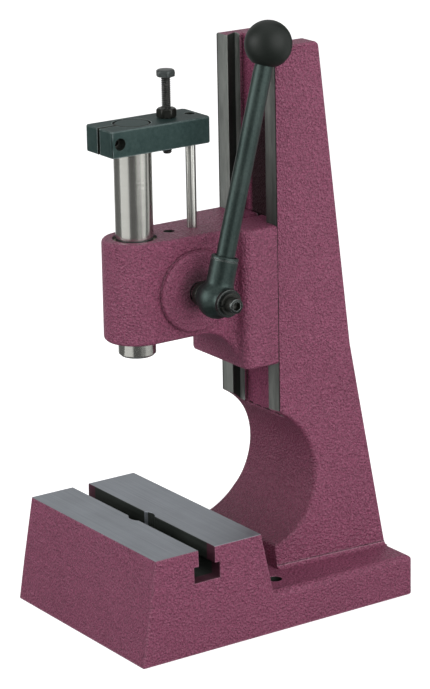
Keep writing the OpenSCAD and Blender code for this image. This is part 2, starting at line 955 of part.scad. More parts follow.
module hub_screw() {
    translate([screw_x, pinion_y, pinion_z])
        rotate([0, -90, 0])
            cap_screw(hub_screw_d, screw_x - seat_end_x + hub_bite);
}

module lever_rod() {
    rod_foot = seat_d / 2 + key_w;
    color(blued)
        on_lever()
            translate([lever_x, 0, rod_foot])
                cylinder(d = rod_d, h = lever_len - rod_foot);
}

module ball_knob() {
    flat_r = rod_d / 2 + ball_lip;
    flat_z = lever_len - sqrt((ball_d / 2) ^ 2 - flat_r ^ 2);
    color(black)
        on_lever()
            difference() {
                translate([lever_x, 0, lever_len])
                    sphere(d = ball_d);
                translate([lever_x, 0, flat_z - ball_d])
                    cylinder(r = ball_d, h = ball_d);
                translate([lever_x, 0, flat_z - over])
                    cylinder(r = rod_d / 2 + fit_gap, h = lever_len - flat_z + over);
            }
}

// Spaces between the rack's teeth, drawn in (y, z) from the ram's axis, with a tooth on the pinion's level
module rack_spaces() {
    below = ceil(ram_d / 2 / tooth_pitch);
    above = ceil((stroke + ram_d / 2) / tooth_pitch);
    slope = tan(pressure_angle);
    root_half = tooth_pitch / 4 + flank_gap - (rack_pitch - rack_root) * slope;
    tip_half = tooth_pitch / 4 + flank_gap + tooth_m * slope;
    translate([rack_tip, -below * tooth_pitch])
        square([ram_d, (below + above) * tooth_pitch]);
    for (k = [-below:above - 1])
        translate([0, (k + 0.5) * tooth_pitch])
            polygon([
                [rack_root, -root_half], [rack_root, root_half],
                [rack_tip, tip_half], [ram_d, tip_half], [ram_d, -tip_half], [rack_tip, -tip_half]
            ]);
}

module ram() {
    color(bright)
        difference() {
            union() {
                post_z(ram_d / 2, ram_y, ram_z + ram_chamfer, bar_top);
                translate([0, ram_y, ram_z])
                    cylinder(r1 = ram_d / 2 - ram_chamfer, r2 = ram_d / 2, h = ram_chamfer);
            }
            post_z(tool_d / 2, ram_y, ram_z - over, ram_z + tool_h);
            along_x(-ram_d, ram_d)
                translate([ram_y, pinion_z])
                    rack_spaces();
            translate([0, ram_y, ram_z + grub_up])
                rotate([90, 0, 0])
                    cylinder(d = grub_d + 2 * fit_gap, h = ram_d);
        }
}

module tool_grub_screw() {
    length = (ram_d - tool_d) / 2 - screw_sunk - pass_gap;
    translate([0, ram_y - tool_d / 2 - pass_gap - length, ram_z + grub_up])
        rotate([-90, 0, 0])
            set_screw(grub_d, length);
}

module stop_bar() {
    front = ram_y - bar_front;
    rear = ram_y + post_back + bar_rear;
    screw_y = (front + ram_y - ram_d / 2) / 2;
    bar_head_d = cap_head_d(bar_screw_d);
    c = bar_chamfer;
    color(oxide)
        difference() {
            along_z(bar_z, bar_top)
                polygon([
                    [-bar_w / 2, front + c], [c - bar_w / 2, front], [bar_w / 2 - c, front],
                    [bar_w / 2, front + c], [bar_w / 2, rear - c], [bar_w / 2 - c, rear],
                    [c - bar_w / 2, rear], [-bar_w / 2, rear - c]
                ]);
            post_z(ram_d / 2 + fit_gap, ram_y, bar_z - over, bar_top + over);
            post_z(stop_d / 2 + run_gap, ram_y + stop_back, bar_z - over, bar_top + over);
            post_z(post_d / 2 + run_gap, ram_y + post_back, bar_z - over, bar_top + over);
            translate([-split_w / 2, front - over, bar_z - over])
                cube([split_w, bar_front, bar_h + 2 * over]);
            translate([-bar_w / 2 - over, screw_y, bar_z + bar_h / 2])
                rotate([0, 90, 0])
                    cylinder(d = bar_screw_d + 2 * fit_gap, h = bar_w);
            translate([bar_w / 2 - bar_screw_d - bar_screw_sunk, screw_y, bar_z + bar_h / 2])
                rotate([0, 90, 0])
                    cylinder(d = bar_head_d + 2 * pass_gap, h = bar_screw_d + bar_screw_sunk + over);
        }
}

module bar_clamp_screw() {
    screw_y = (ram_y - bar_front + ram_y - ram_d / 2) / 2;
    translate([bar_w / 2 - bar_screw_d - bar_screw_sunk, screw_y, bar_z + bar_h / 2])
        rotate([0, -90, 0])
            cap_screw(bar_screw_d, bar_w - bar_screw_d - bar_screw_sunk - screw_sunk);
}

module stop_nut() {
    nut_h = stop_d * nut_ratio;
    color(black)
        difference() {
            translate([0, ram_y + stop_back, bar_top])
                cylinder(d = hex_flats(stop_d) / cos(30), h = nut_h, $fn = 6);
            post_z(stop_d / 2 + run_gap, ram_y + stop_back, bar_top - over, bar_top + nut_h + over);
        }
}

module stop_screw() {
    head_t = stop_d * hex_head_ratio;
    color(black)
        union() {
            post_z(stop_d / 2, ram_y + stop_back, bar_z - stop_out, bar_top + stop_up);
            translate([0, ram_y + stop_back, bar_top + stop_up])
                rotate(stop_turn)
                    cylinder(d = hex_flats(stop_d) / cos(30), h = head_t, $fn = 6);
        }
}

frame_base();
frame_column();
press_head();
upper_ram_bush();
lower_ram_bush();
right_shaft_bush();
left_shaft_bush();
spring_housing();
return_spring();
spring_cover();
cover_screws();
head_clamp_screws();
guide_post();
stop_button();
pinion_shaft();
shaft_collar();
hub_key();
lever_hub();
hub_washer();
lock_washer();
hub_screw();
lever_rod();
ball_knob();
ram();
tool_grub_screw();
stop_bar();
bar_clamp_screw();
stop_nut();
stop_screw();
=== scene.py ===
import json
import math

import bmesh
import bpy
import numpy as np
from mathutils import Matrix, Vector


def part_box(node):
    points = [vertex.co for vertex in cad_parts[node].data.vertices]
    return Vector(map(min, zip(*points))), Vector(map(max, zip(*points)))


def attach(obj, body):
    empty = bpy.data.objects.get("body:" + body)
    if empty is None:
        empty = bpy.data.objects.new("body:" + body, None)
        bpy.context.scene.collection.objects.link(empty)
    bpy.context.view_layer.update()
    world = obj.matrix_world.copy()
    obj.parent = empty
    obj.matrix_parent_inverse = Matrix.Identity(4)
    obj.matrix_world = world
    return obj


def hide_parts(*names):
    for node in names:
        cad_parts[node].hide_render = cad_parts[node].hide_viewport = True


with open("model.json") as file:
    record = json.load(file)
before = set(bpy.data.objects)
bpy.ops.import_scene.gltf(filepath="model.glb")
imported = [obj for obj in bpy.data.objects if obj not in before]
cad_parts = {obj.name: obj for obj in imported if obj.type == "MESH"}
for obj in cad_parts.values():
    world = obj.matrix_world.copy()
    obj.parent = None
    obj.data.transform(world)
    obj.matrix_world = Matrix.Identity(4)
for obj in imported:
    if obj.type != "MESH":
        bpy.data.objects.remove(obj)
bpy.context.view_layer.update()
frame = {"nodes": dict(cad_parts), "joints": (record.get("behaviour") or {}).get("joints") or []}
nodes = frame["nodes"]
leverTurn = next(j for j in frame["joints"] if j["name"] == "lever_turn")
pinion = np.array(leverTurn["pos_m"])
near = 2e-5  # what is this close to a plane lies in it
mergeWithin = 2e-6  # points this close are one
edgeAngle = math.radians(35)  # flatter edges aren't rounded
print("frame loaded,", len(nodes), "CAD nodes")


def boxOf(node):
    low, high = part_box(node)
    return np.array(low), np.array(high)


def middleOf(node):
    low, high = boxOf(node)
    return (low + high) / 2


ramY = middleOf("ram")[1]


def joinScene(thing):
    bpy.context.scene.collection.objects.link(thing)


def lyingAt(values, place):
    return np.abs(values - place) < near


# faces that look along an axis, by its number
def facing(normals, axis, sign=1):
    return sign * normals[:, axis] > 0.9


# faces that run along an axis, such as the wall of a hole
def running(normals, axis):
    return np.abs(normals[:, axis]) < 0.5


# merges the poles and seams, closes open ends and turns every face outwards
def cleanMesh(mesh, fill):
    bm = bmesh.new()
    bm.from_mesh(mesh)
    bmesh.ops.remove_doubles(bm, verts=bm.verts, dist=mergeWithin)
    if fill:
        bmesh.ops.holes_fill(bm, edges=bm.edges, sides=0)
        bmesh.ops.recalc_face_normals(bm, faces=bm.faces)
    bm.to_mesh(mesh)
    bm.free()


def finishShading(mesh, sharpAngle=30):
    mesh.polygons.foreach_set("use_smooth", np.ones(len(mesh.polygons), dtype=bool))
    mesh.set_sharp_from_angle(angle=math.radians(sharpAngle))


# rows x columns x 3 points become quads; the last column joins the first where wrap is true
def gridMesh(name, points, wrap=True, sharpAngle=35, fill=True):
    rows, cols = points.shape[:2]
    index = np.arange(rows * cols).reshape(rows, cols)
    here = index if wrap else index[:, :-1]
    beside = np.roll(index, -1, axis=1) if wrap else index[:, 1:]
    quads = np.stack([here[:-1], beside[:-1], beside[1:], here[1:]], axis=-1).reshape(-1, 4)
    mesh = bpy.data.meshes.new(name)
    mesh.from_pydata(points.reshape(-1, 3).tolist(), [], quads.tolist())
    cleanMesh(mesh, fill)
    finishShading(mesh, sharpAngle)
    return mesh


# two directions square to an axis
def squareTo(axis):
    axis = np.asarray(axis, float) / np.linalg.norm(axis)
    side = np.cross(axis, [0, 1, 0] if abs(axis[1]) < 0.9 else [1, 0, 0])
    side = side / np.linalg.norm(side)
    return axis, side, np.cross(axis, side)


# equal steps round a full turn
def fullTurn(steps):
    return np.linspace(0, 2 * math.pi, steps, endpoint=False)


def ringOf(a, u, v):
    return np.cos(a)[:, None] * u + np.sin(a)[:, None] * v


# a turned surface: p(h, a) = centre + h·axis + r(h, a)·(cos a·u + sin a·v)
def turnedPoints(heights, radii, centre, axis, steps):
    axis, u, v = squareTo(axis)
    radii = np.broadcast_to(np.asarray(radii, float).reshape(len(heights), -1), (len(heights), steps))
    rise = np.asarray(heights, float)[:, None, None] * axis
    return np.asarray(centre, float) + rise + radii[..., None] * ringOf(fullTurn(steps), u, v)


# rows of (height, radius) as two arrays; a radius may be a whole ring of radii
def splitRows(rows):
    return np.array([row[0] for row in rows]), np.array([row[1] for row in rows])


# radius of a hexagon at angle a, from its width across flats
def hexRadius(a, flats, turn=0.0):
    return flats / 2 / np.cos((a - turn) % (math.pi / 3) - math.pi / 6)


def addPiece(name, mesh, body, replaced, materials):
    piece = bpy.data.objects.new(name, mesh)
    joinScene(piece)
    for material in materials:
        mesh.materials.append(material)
    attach(piece, body)
    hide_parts(*replaced)
    return piece


# which of the piece's materials each face has
def setFinish(mesh, finish):
    mesh.polygons.foreach_set("material_index", finish.astype(np.int32))


# a merged copy of a CAD mesh, its flat faces joined so that edges can be rounded
def copiedMesh(node, name):
    mesh = nodes[node].data.copy()
    mesh.name = name
    mesh.materials.clear()
    bm = bmesh.new()
    bm.from_mesh(mesh)
    bmesh.ops.remove_doubles(bm, verts=bm.verts, dist=mergeWithin)
    bmesh.ops.dissolve_limit(bm, angle_limit=math.radians(0.4), verts=bm.verts, edges=bm.edges)
    bmesh.ops.dissolve_degenerate(bm, dist=4e-5, edges=bm.edges)
    bm.to_mesh(mesh)
    bm.free()
    setFinish(mesh, np.zeros(len(mesh.polygons)))
    return mesh


# per-face middles and normals, as arrays
def faceArrays(mesh):
    middles = np.zeros(len(mesh.polygons) * 3)
    normals = np.zeros(len(mesh.polygons) * 3)
    mesh.polygons.foreach_get("center", middles)
    mesh.polygons.foreach_get("normal", normals)
    return middles.reshape(-1, 3), normals.reshape(-1, 3)


def pointsOf(mesh):
    points = np.empty(3 * len(mesh.vertices))
    mesh.vertices.foreach_get("co", points)
    return points.reshape(-1, 3)


# the two points of every edge
def edgeEnds(mesh):
    ends = np.empty(2 * len(mesh.edges), np.int32)
    mesh.edges.foreach_get("vertices", ends)
    return ends.reshape(-1, 2)


# bevel weight of every edge: painted edges are cast round, edges of machined faces are only broken and
# inner corners stay sharp; shape then changes the weights by the middles of the edges
def weighEdges(mesh, machined, castRound, broken, shape=None, seam=None):
    # every edge has two faces; it is convex where the normals' cross product runs with the first face's winding
    edgeOfLoop, startOfLoop = np.empty(len(mesh.loops), np.int32), np.empty(len(mesh.loops), np.int32)
    mesh.loops.foreach_get("edge_index", edgeOfLoop)
    mesh.loops.foreach_get("vertex_index", startOfLoop)
    sizes = np.empty(len(mesh.polygons), np.int32)
    mesh.polygons.foreach_get("loop_total", sizes)
    ends = edgeEnds(mesh)
    lines = pointsOf(mesh)[ends]
    order = np.argsort(edgeOfLoop, kind="stable").reshape(-1, 2)
    faces = np.repeat(np.arange(len(sizes)), sizes)[order]
    normals = faceArrays(mesh)[1]
    first, second = normals[faces[:, 0]], normals[faces[:, 1]]
    along = lines[:, 1] - lines[:, 0]
    along *= np.where(startOfLoop[order[:, 0]] == ends[:, 0], 1, -1)[:, None]
    convex = np.sum(np.cross(first, second) * along, axis=1) > 0
    weights = np.where(machined[faces].any(axis=1), broken / castRound, 1.0) * convex
    if shape is not None:
        weights = shape(weights, convex, *lines.mean(axis=1).T)
    weights = weights * (np.sum(first * second, axis=1) < math.cos(edgeAngle))
    if seam is not None:  # the casting goes on below this plane
        onSeam = np.all(lyingAt(lines[:, :, 2], seam), axis=1)
        weights = weights * ~onSeam
        mesh.attributes["sharp_edge"].data.foreach_set("value", onSeam)
    attribute = mesh.attributes.new("bevel_weight_edge", "FLOAT", "EDGE")
    attribute.data.foreach_set("value", weights.astype(np.float32))


def roundEdges(piece, width, segments, byWeight=False, keepSharp=False):
    bevel = piece.modifiers.new("roundedEdges", "BEVEL")
    bevel.width = width
    bevel.segments = segments
    bevel.limit_method = "WEIGHT" if byWeight else "ANGLE"
    bevel.angle_limit = edgeAngle
    bevel.use_clamp_overlap = not byWeight
    bevel.miter_outer = "MITER_ARC"
    weighted = piece.modifiers.new("flatShading", "WEIGHTED_NORMAL")
    weighted.keep_sharp = keepSharp
    weighted.weight = 80


# a piece whose edges are rounded by their weights
def addRounded(name, mesh, body, node, materials, machined, look, shape=None, seam=None):
    piece = addPiece(name, mesh, body, [node], materials)
    finishShading(mesh)
    weighEdges(mesh, machined, look["round"], look["broken"], shape, seam)
    roundEdges(piece, look["round"], look["segments"], byWeight=True, keepSharp=seam is not None)
    print(name + ":", len(mesh.polygons), "faces,", int(machined.sum()), "machined")


def addNode(tree, kind, values=None, **settings):
    node = tree.nodes.new(kind)
    for key, value in settings.items():
        setattr(node, key, value)
    for key, value in (values or {}).items():
        node.inputs[key].default_value = value
    return node


# links an output to the socket, or sets a constant on it
def feed(tree, socket, value):
    if isinstance(value, bpy.types.NodeSocket):
        tree.links.new(value, socket)
    else:
        socket.default_value = value


def addMath(tree, operation, first, second, clamp=False):
    node = addNode(tree, "ShaderNodeMath", operation=operation, use_clamp=clamp)
    feed(tree, node.inputs[0], first)
    feed(tree, node.inputs[1], second)
    return node.outputs[0]


def times(tree, first, second):
    return addMath(tree, "MULTIPLY", first, second)


# two values added by their shares
def addShares(tree, first, second, shares):
    return addMath(tree, "ADD", times(tree, first, shares[0]), times(tree, second, shares[1]))


def vectorMath(tree, operation, first, second):
    node = addNode(tree, "ShaderNodeVectorMath", operation=operation)
    feed(tree, node.inputs[0], first)
    feed(tree, node.inputs[1], second)
    return node.outputs["Value" if operation in ("DOT_PRODUCT", "DISTANCE") else "Vector"]


def objectPlace(tree):
    return addNode(tree, "ShaderNodeTexCoord").outputs["Object"]


# object coordinates as three values
def splitPlace(tree):
    split = addNode(tree, "ShaderNodeSeparateXYZ")
    tree.links.new(objectPlace(tree), split.inputs[0])
    return split.outputs


# distance from a line along X through the given y and z
def awayFrom(tree, y, z):
    return vectorMath(tree, "DISTANCE", vectorMath(tree, "MULTIPLY", objectPlace(tree), (0, 1, 1)), (0, y, z))


def noise(tree, place, scale, detail, roughness=0.5):
    node = addNode(tree, "ShaderNodeTexNoise", {"Detail": detail, "Roughness": roughness})
    tree.links.new(place, node.inputs["Vector"])
    feed(tree, node.inputs["Scale"], scale)
    return node.outputs


# maps a value from one range to another, clamped
def remap(tree, value, low, high, toLow, toHigh):
    node = addNode(tree, "ShaderNodeMapRange", {1: low, 2: high, 3: toLow, 4: toHigh})
    tree.links.new(value, node.inputs[0])
    return node.outputs[0]


# mixes two colours by a value and gives the colour socket
def mixColour(tree, factor, first, second):
    node = addNode(tree, "ShaderNodeMix", data_type="RGBA")
    tree.links.new(factor, node.inputs["Factor"])
    for socket, value in ((node.inputs[6], first), (node.inputs[7], second)):
        feed(tree, socket, (*value, 1) if isinstance(value, tuple) else value)
    return node.outputs[2]


# colour, roughness and relief of a finish
def dress(tree, shader, colour, rough, height, look):
    relief = addNode(tree, "ShaderNodeBump", {"Strength": look["bump"], "Distance": look["depth"]})
    tree.links.new(height, relief.inputs["Height"])
    for label, value in (("Base Color", colour), ("Roughness", rough), ("Normal", relief.outputs[0])):
        tree.links.new(value, shader.inputs[label])


# 1 where the camera sees the surface, straight or by way of a mirror or glass
def seenByCamera(tree):
    path = addNode(tree, "ShaderNodeLightPath").outputs
    bent = addMath(tree, "MAXIMUM", path["Is Glossy Ray"], path["Is Transmission Ray"])
    return addMath(tree, "MAXIMUM", path["Is Camera Ray"], bent)


def newGroup(name, inputs, outputs):
    group = bpy.data.node_groups.new(name, "ShaderNodeTree")
    for label, value in inputs.items():
        socket = group.interface.new_socket(label, in_out="INPUT", socket_type="NodeSocketFloat")
        socket.default_value = value
    for label in outputs:
        group.interface.new_socket(label, in_out="OUTPUT", socket_type="NodeSocketFloat")
    return group, group.nodes.new("NodeGroupInput").outputs, group.nodes.new("NodeGroupOutput").inputs


def placeGroup(tree, group, values):
    return addNode(tree, "ShaderNodeGroup", values, node_tree=group).outputs


skinLook = {"warp": 0.6, "push": 1.2, "grain": 1.1, "cloud": 22, "mottle": (0.9, 0.1), "height": (0.7, 0.5)}


# hammered skin: warped cells of the given width give the height, their own noise the mottle
def makeHammerSkin():
    look = skinLook
    group, given, result = newGroup("hammerSkin", {"Cell": 0.0016}, ["Height", "Mottle"])
    place, cell = objectPlace(group), given["Cell"]
    scale = addMath(group, "DIVIDE", 1.0, cell)
    warp = noise(group, place, times(group, scale, look["warp"]), 1)["Color"]
    push = vectorMath(group, "MULTIPLY", warp, times(group, cell, look["push"]))
    cells = addNode(group, "ShaderNodeTexVoronoi", {"Smoothness": 0.5}, feature="SMOOTH_F1")
    group.links.new(vectorMath(group, "ADD", place, push), cells.inputs["Vector"])
    group.links.new(scale, cells.inputs["Scale"])
    grain = noise(group, place, times(group, scale, look["grain"]), 2, 0.6)["Fac"]
    cloud = noise(group, place, look["cloud"], 2)["Fac"]
    group.links.new(addShares(group, grain, cloud, look["mottle"]), result["Mottle"])
    group.links.new(addShares(group, cells.outputs["Distance"], grain, look["height"]), result["Height"])
    return group


# tool marks: noise drawn out along one axis, finer across it
def makeToolMarks():
    labels = ("AcrossX", "AcrossY", "AcrossZ")
    group, given, result = newGroup("toolMarks", dict.fromkeys(labels, 900.0), ["Lines", "Stain"])
    place = objectPlace(group)
    spread = addNode(group, "ShaderNodeCombineXYZ")
    for axis, label in zip("XYZ", labels):
        group.links.new(given[label], spread.inputs[axis])
    drawn = vectorMath(group, "MULTIPLY", place, spread.outputs[0])
    group.links.new(noise(group, drawn, 1, 3, 0.65)["Fac"], result["Lines"])
    group.links.new(noise(group, place, 34, 4, 0.55)["Fac"], result["Stain"])
    return group


# rubbed edges with painted edge highlights: how far a rounded normal turns away from the face's own normal, in patches
def makeWornEdgeHighlight():
    group, given, result = newGroup("wornEdgeHighlight", {"Width": 0.0008, "Gain": 3.0}, ["Mask"])
    rounded = addNode(group, "ShaderNodeBevel", samples=4)
    group.links.new(given["Width"], rounded.inputs["Radius"])
    own = addNode(group, "ShaderNodeNewGeometry").outputs["Normal"]
    turned = addMath(group, "SUBTRACT", 1.0, vectorMath(group, "DOT_PRODUCT", rounded.outputs[0], own))
    patches = times(group, noise(group, objectPlace(group), 260, 2)["Fac"], 2.0)
    wornAndLit = addMath(group, "MULTIPLY", times(group, turned, patches), given["Gain"], clamp=True)
    group.links.new(wornAndLit, result["Mask"])
    return group


# painted shade in inner corners: how much of the space within reach the piece itself takes up
def makePaintedCornerShade():
    group, given, result = newGroup("paintedCornerShade", {"Reach": 0.004}, ["Mask"])
    clear = addNode(group, "ShaderNodeAmbientOcclusion", samples=8, only_local=True)
    group.links.new(given["Reach"], clear.inputs["Distance"])
    group.links.new(remap(group, clear.outputs["AO"], 0.82, 0.46, 0, 1), result["Mask"])
    return group


hammerSkin = makeHammerSkin()
toolMarks = makeToolMarks()
wornEdgeHighlight = makeWornEdgeHighlight()
paintedCornerShade = makePaintedCornerShade()


def newMaterial(name, values):
    material = bpy.data.materials.new(name)
    material.use_nodes = True
    shader = material.node_tree.nodes["Principled BSDF"]
    for key, value in values.items():
        shader.inputs[key].default_value = value
    return material, material.node_tree, shader


paintLook = {
    "cell": 0.0014, "bump": 1.0, "depth": 0.0016, "rough": (0.3, 0.7, 0.5, 0.34), "gloss": 0.35, "grooveGloss": 0.12,
    "dark": (0.164, 0.040, 0.079), "light": (0.280, 0.072, 0.138), "mottle": (0.36, 0.64),
    # rubbed edges with painted edge highlights: their colour, size and where they stop above the seam
    "wornHighlight": (0.42, 0.23, 0.29), "wornHighlightSize": {"Width": 0.0014, "Gain": 3.2}, "seamWornHighlight": (0.0015, 0.0025),
    # the corner colour is painted shade, in inner corners and in the throat; the rest of this line sets its reach
    "corner": (0.060, 0.011, 0.020), "reach": 0.004, "seamShade": (0.012, 0.022), "headShade": 0.55,
    "throatAt": (0.00727, 0.088), "throatSpan": (0.0472, 0.0490), "throatShade": (0.045, 0.090, 0.40, 0.26),
    # painted shadow: its colour, and where it lies round the shaft on the boss's face
    "shadowDark": (0.020, 0.009, 0.011), "bossShadowAt": (0.0255, pinion[1] - 0.001, pinion[2] + 0.002),
    "bossShadowSpan": (0.0085, 0.0165, 0.55, 0), "bossShadowFace": (0.0235, 0.0250),
    "bare": (0.016, 0.007, 0.008), "bareEnd": (0.1188, 0.1196), "bareWave": -0.006,
    # painted shadow on the groove above the head: its heights, side and share
    "shadowLow": (0.215, 0.235), "shadowHigh": (0.315, 0.345), "shadowSide": (-0.0145, -0.0105), "paintedShadow": 0.97,
}


def makeHammerPaint(name, ragged=False, seam=None, forHead=False):
    look = paintLook
    material, tree, shader = newMaterial(name, {"Specular IOR Level": look["grooveGloss" if ragged else "gloss"]})
    skin = placeGroup(tree, hammerSkin, {"Cell": look["cell"]})
    place, at = objectPlace(tree), splitPlace(tree)
    colour = mixColour(tree, remap(tree, skin["Mottle"], *look["mottle"], 0, 1), look["dark"], look["light"])
    wornAndLit = placeGroup(tree, wornEdgeHighlight, look["wornHighlightSize"])["Mask"]
    cornerShadeMask = placeGroup(tree, paintedCornerShade, {"Reach": look["reach"]})["Mask"]
    if seam is not None:  # the casting goes on below this height, so there are no rubbed edges, painted edge highlights or painted corner shade there
        above = addMath(tree, "SUBTRACT", at["Z"], seam)
        wornAndLit = times(tree, wornAndLit, remap(tree, above, *look["seamWornHighlight"], 0, 1))
        cornerShadeMask = times(tree, cornerShadeMask, remap(tree, above, *look["seamShade"], 0, 1))
        inThroat = remap(tree, awayFrom(tree, *look["throatAt"]), *look["throatSpan"], 1, 0)
        throatShadeMask = times(tree, inThroat, remap(tree, at["Z"], *look["throatShade"]))  # painted shade in the throat, deeper lower down
        colour = mixColour(tree, throatShadeMask, colour, look["corner"])
    if forHead:  # less painted corner shade on the head than on the frame
        cornerShadeMask = times(tree, cornerShadeMask, look["headShade"])
    # rubbed edges with painted edge highlights, then painted shade in inner corners
    colour = mixColour(tree, wornAndLit, colour, look["wornHighlight"])
    colour = mixColour(tree, cornerShadeMask, colour, look["corner"])
    if forHead:  # painted shadow of the lever's hub, round the shaft on the boss's face
        spot = remap(tree, vectorMath(tree, "DISTANCE", place, look["bossShadowAt"]), *look["bossShadowSpan"])
        bossShadow = times(tree, spot, remap(tree, at["X"], *look["bossShadowFace"], 0, 1))
        colour = mixColour(tree, bossShadow, colour, look["shadowDark"])
    if ragged:  # dark uneven end of the groove's paint above the throat, and painted shadow on the groove above the head
        wave = times(tree, noise(tree, place, 190, 2)["Fac"], look["bareWave"])
        bare = remap(tree, addMath(tree, "ADD", at["Z"], wave), *look["bareEnd"], 1, 0)
        colour = mixColour(tree, bare, colour, look["bare"])
        paintedShadow = remap(tree, at["X"], *look["shadowSide"], 0, look["paintedShadow"])
        paintedShadow = times(tree, paintedShadow, remap(tree, at["Z"], *look["shadowLow"], 0, 1))
        paintedShadow = times(tree, paintedShadow, remap(tree, at["Z"], *look["shadowHigh"], 1, 0))
        colour = mixColour(tree, paintedShadow, colour, look["shadowDark"])
    dress(tree, shader, colour, remap(tree, skin["Mottle"], *look["rough"]), skin["Height"], look)
    return material


# steel finishes: colour pair, metal share, roughness pair, tool marks and rubbed edges with painted edge highlights
steelLooks = {
    "milledSteel": {"dark": (0.22, 0.24, 0.265), "light": (0.325, 0.35, 0.385), "metal": 0.75, "rough": (0.34, 0.48),
                    "marks": (14, 900, 900), "edge": (0.5, 0.52, 0.54)},
    # scraped guide strips; the lever side's strip carries a painted shadow
    "scrapedSteel": {"dark": (0.165, 0.18, 0.165), "light": (0.275, 0.29, 0.27), "metal": 0.35, "rough": (0.42, 0.55),
                     "marks": (700, 700, 90), "edge": (0.36, 0.38, 0.36), "gain": 1.5,
                     "coverFrom": 0.0312, "cover": (0.014, 0.011, 0.010), "paintedShadow": 0.42},
    # painted shade: near black for the insides of slots, holes and the split, the dovetail's undercut flanks and the
    # joint round the ram's top; paint run into the slot's ends
    "recessShadeSteel": {"dark": (0.010, 0.014, 0.011), "light": (0.030, 0.036, 0.031), "metal": 0.3, "rough": (0.45, 0.6),
                  "marks": (14, 700, 700), "edge": (0.2, 0.21, 0.2), "gain": 1.0,
                  "coverFrom": 0.0655, "cover": (0.075, 0.019, 0.035)},
    "groundSteel": {"dark": (0.50, 0.50, 0.465), "light": (0.60, 0.60, 0.56), "metal": 1.0, "rough": (0.17, 0.25),
                    "marks": (60, 60, 5000), "edge": (0.8, 0.8, 0.78), "gain": 0.8},
    "darkOxide": {"dark": (0.022, 0.043, 0.041), "light": (0.042, 0.070, 0.066), "metal": 0.35, "rough": (0.42, 0.55),
                  "marks": (500, 500, 500), "edge": (0.30, 0.35, 0.35), "gain": 4.5, "wornHighlightSize": 0.0014, "spec": 0.12,
                  "spared": (0.0055, 0.0067)},
    "bluedSteel": {"dark": (0.025, 0.039, 0.036), "light": (0.053, 0.074, 0.068), "metal": 0.82, "rough": (0.36, 0.48),
                   "marks": (700, 700, 700), "edge": (0.24, 0.27, 0.26), "gain": 3.2, "wornHighlightSize": 0.0009, "bump": 0.03,
                   "spec": 0.35},
    "screwOxide": {"dark": (0.030, 0.036, 0.035), "light": (0.068, 0.078, 0.077), "metal": 0.6, "rough": (0.28, 0.4),
                   "edge": (0.2, 0.21, 0.2)},
    "threadSteel": {"dark": (0.006, 0.006, 0.005), "light": (0.014, 0.014, 0.012), "metal": 0.5, "rough": (0.25, 0.35),
                    "edge": (0.42, 0.43, 0.41), "gain": 5.5, "wornHighlightSize": 0.0003},
    "postSteel": {"dark": (0.46, 0.46, 0.43), "light": (0.53, 0.53, 0.50), "metal": 1.0, "rough": (0.29, 0.33),
                  "marks": (60, 60, 900), "edge": (0.8, 0.8, 0.78), "gain": 0.8, "bump": 0.003},
    "washerSteel": {"dark": (0.014, 0.017, 0.016), "light": (0.036, 0.041, 0.039), "metal": 0.7, "rough": (0.24, 0.34),
                    "edge": (0.42, 0.45, 0.44), "gain": 5.0, "wornHighlightSize": 0.0005},
    "blackOxide": {"dark": (0.011, 0.012, 0.010), "light": (0.030, 0.031, 0.026), "metal": 0.5, "rough": (0.3, 0.42),
                   "edge": (0.12, 0.12, 0.115)},
    "bushBronze": {"dark": (0.085, 0.062, 0.038), "light": (0.15, 0.11, 0.065), "metal": 1.0, "rough": (0.28, 0.4),
                   "marks": (700, 700, 700), "edge": (0.55, 0.42, 0.22), "gain": 1.0},
}
# what the finishes share where they don't say otherwise
steelBase = {"marks": (900, 900, 900), "mix": (0.6, 0.4), "span": (0.35, 0.65), "wornHighlightSize": 0.0006, "gain": 2.0,
             # where the guide strip's painted shadow lies comes last
             "bump": 0.12, "depth": 0.0001, "spec": 0.5, "coverBlend": 0.0006, "shadowSide": (-0.002, 0.002),
             "shadowLow": (0.20, 0.21), "shadowNearHead": (0.256, 0.305, 0.42, 0)}


def makeSteel(name):
    look = {**steelBase, **steelLooks[name]}
    material, tree, shader = newMaterial(name, {"Metallic": look["metal"], "Specular IOR Level": look["spec"]})
    marks = placeGroup(tree, toolMarks, dict(zip(("AcrossX", "AcrossY", "AcrossZ"), look["marks"])))
    tone = addShares(tree, marks["Lines"], marks["Stain"], look["mix"])
    colour = mixColour(tree, remap(tree, tone, *look["span"], 0, 1), look["dark"], look["light"])
    wornAndLit = placeGroup(tree, wornEdgeHighlight, {"Width": look["wornHighlightSize"], "Gain": look["gain"]})["Mask"]
    if "spared" in look:  # no rubbed edge or painted edge highlight at the clamp screw's hole, so its rim stays dark
        around = awayFrom(tree, *middleOf("bar_clamp_screw")[1:])
        wornAndLit = times(tree, wornAndLit, remap(tree, around, *look["spared"], 0, 1))
    # rubbed edges with painted edge highlights
    colour = mixColour(tree, wornAndLit, colour, look["edge"])
    if "cover" in look:  # black grease along the guide's outer corners, paint run into the slot's ends
        at, blend = splitPlace(tree), look["coverBlend"]
        if "paintedShadow" in look:  # painted shadow: the lever side's strip is darker, most of all just above the head
            more = remap(tree, at["Z"], *look["shadowLow"], 0, 1)
            more = times(tree, more, remap(tree, at["Z"], *look["shadowNearHead"]))
            paintedShadow = addMath(tree, "ADD", more, look["paintedShadow"])
            paintedShadow = times(tree, paintedShadow, remap(tree, at["X"], *look["shadowSide"], 0, 1))
            colour = mixColour(tree, paintedShadow, colour, look["cover"])
        aside = addMath(tree, "ADD", addMath(tree, "ABSOLUTE", at["X"], 0.0), times(tree, marks["Stain"], blend))
        covered = remap(tree, aside, look["coverFrom"], look["coverFrom"] + blend, 0, 1)
        colour = mixColour(tree, covered, colour, look["cover"])
    dress(tree, shader, colour, remap(tree, tone, *look["span"], *look["rough"]), marks["Lines"], look)
    return material


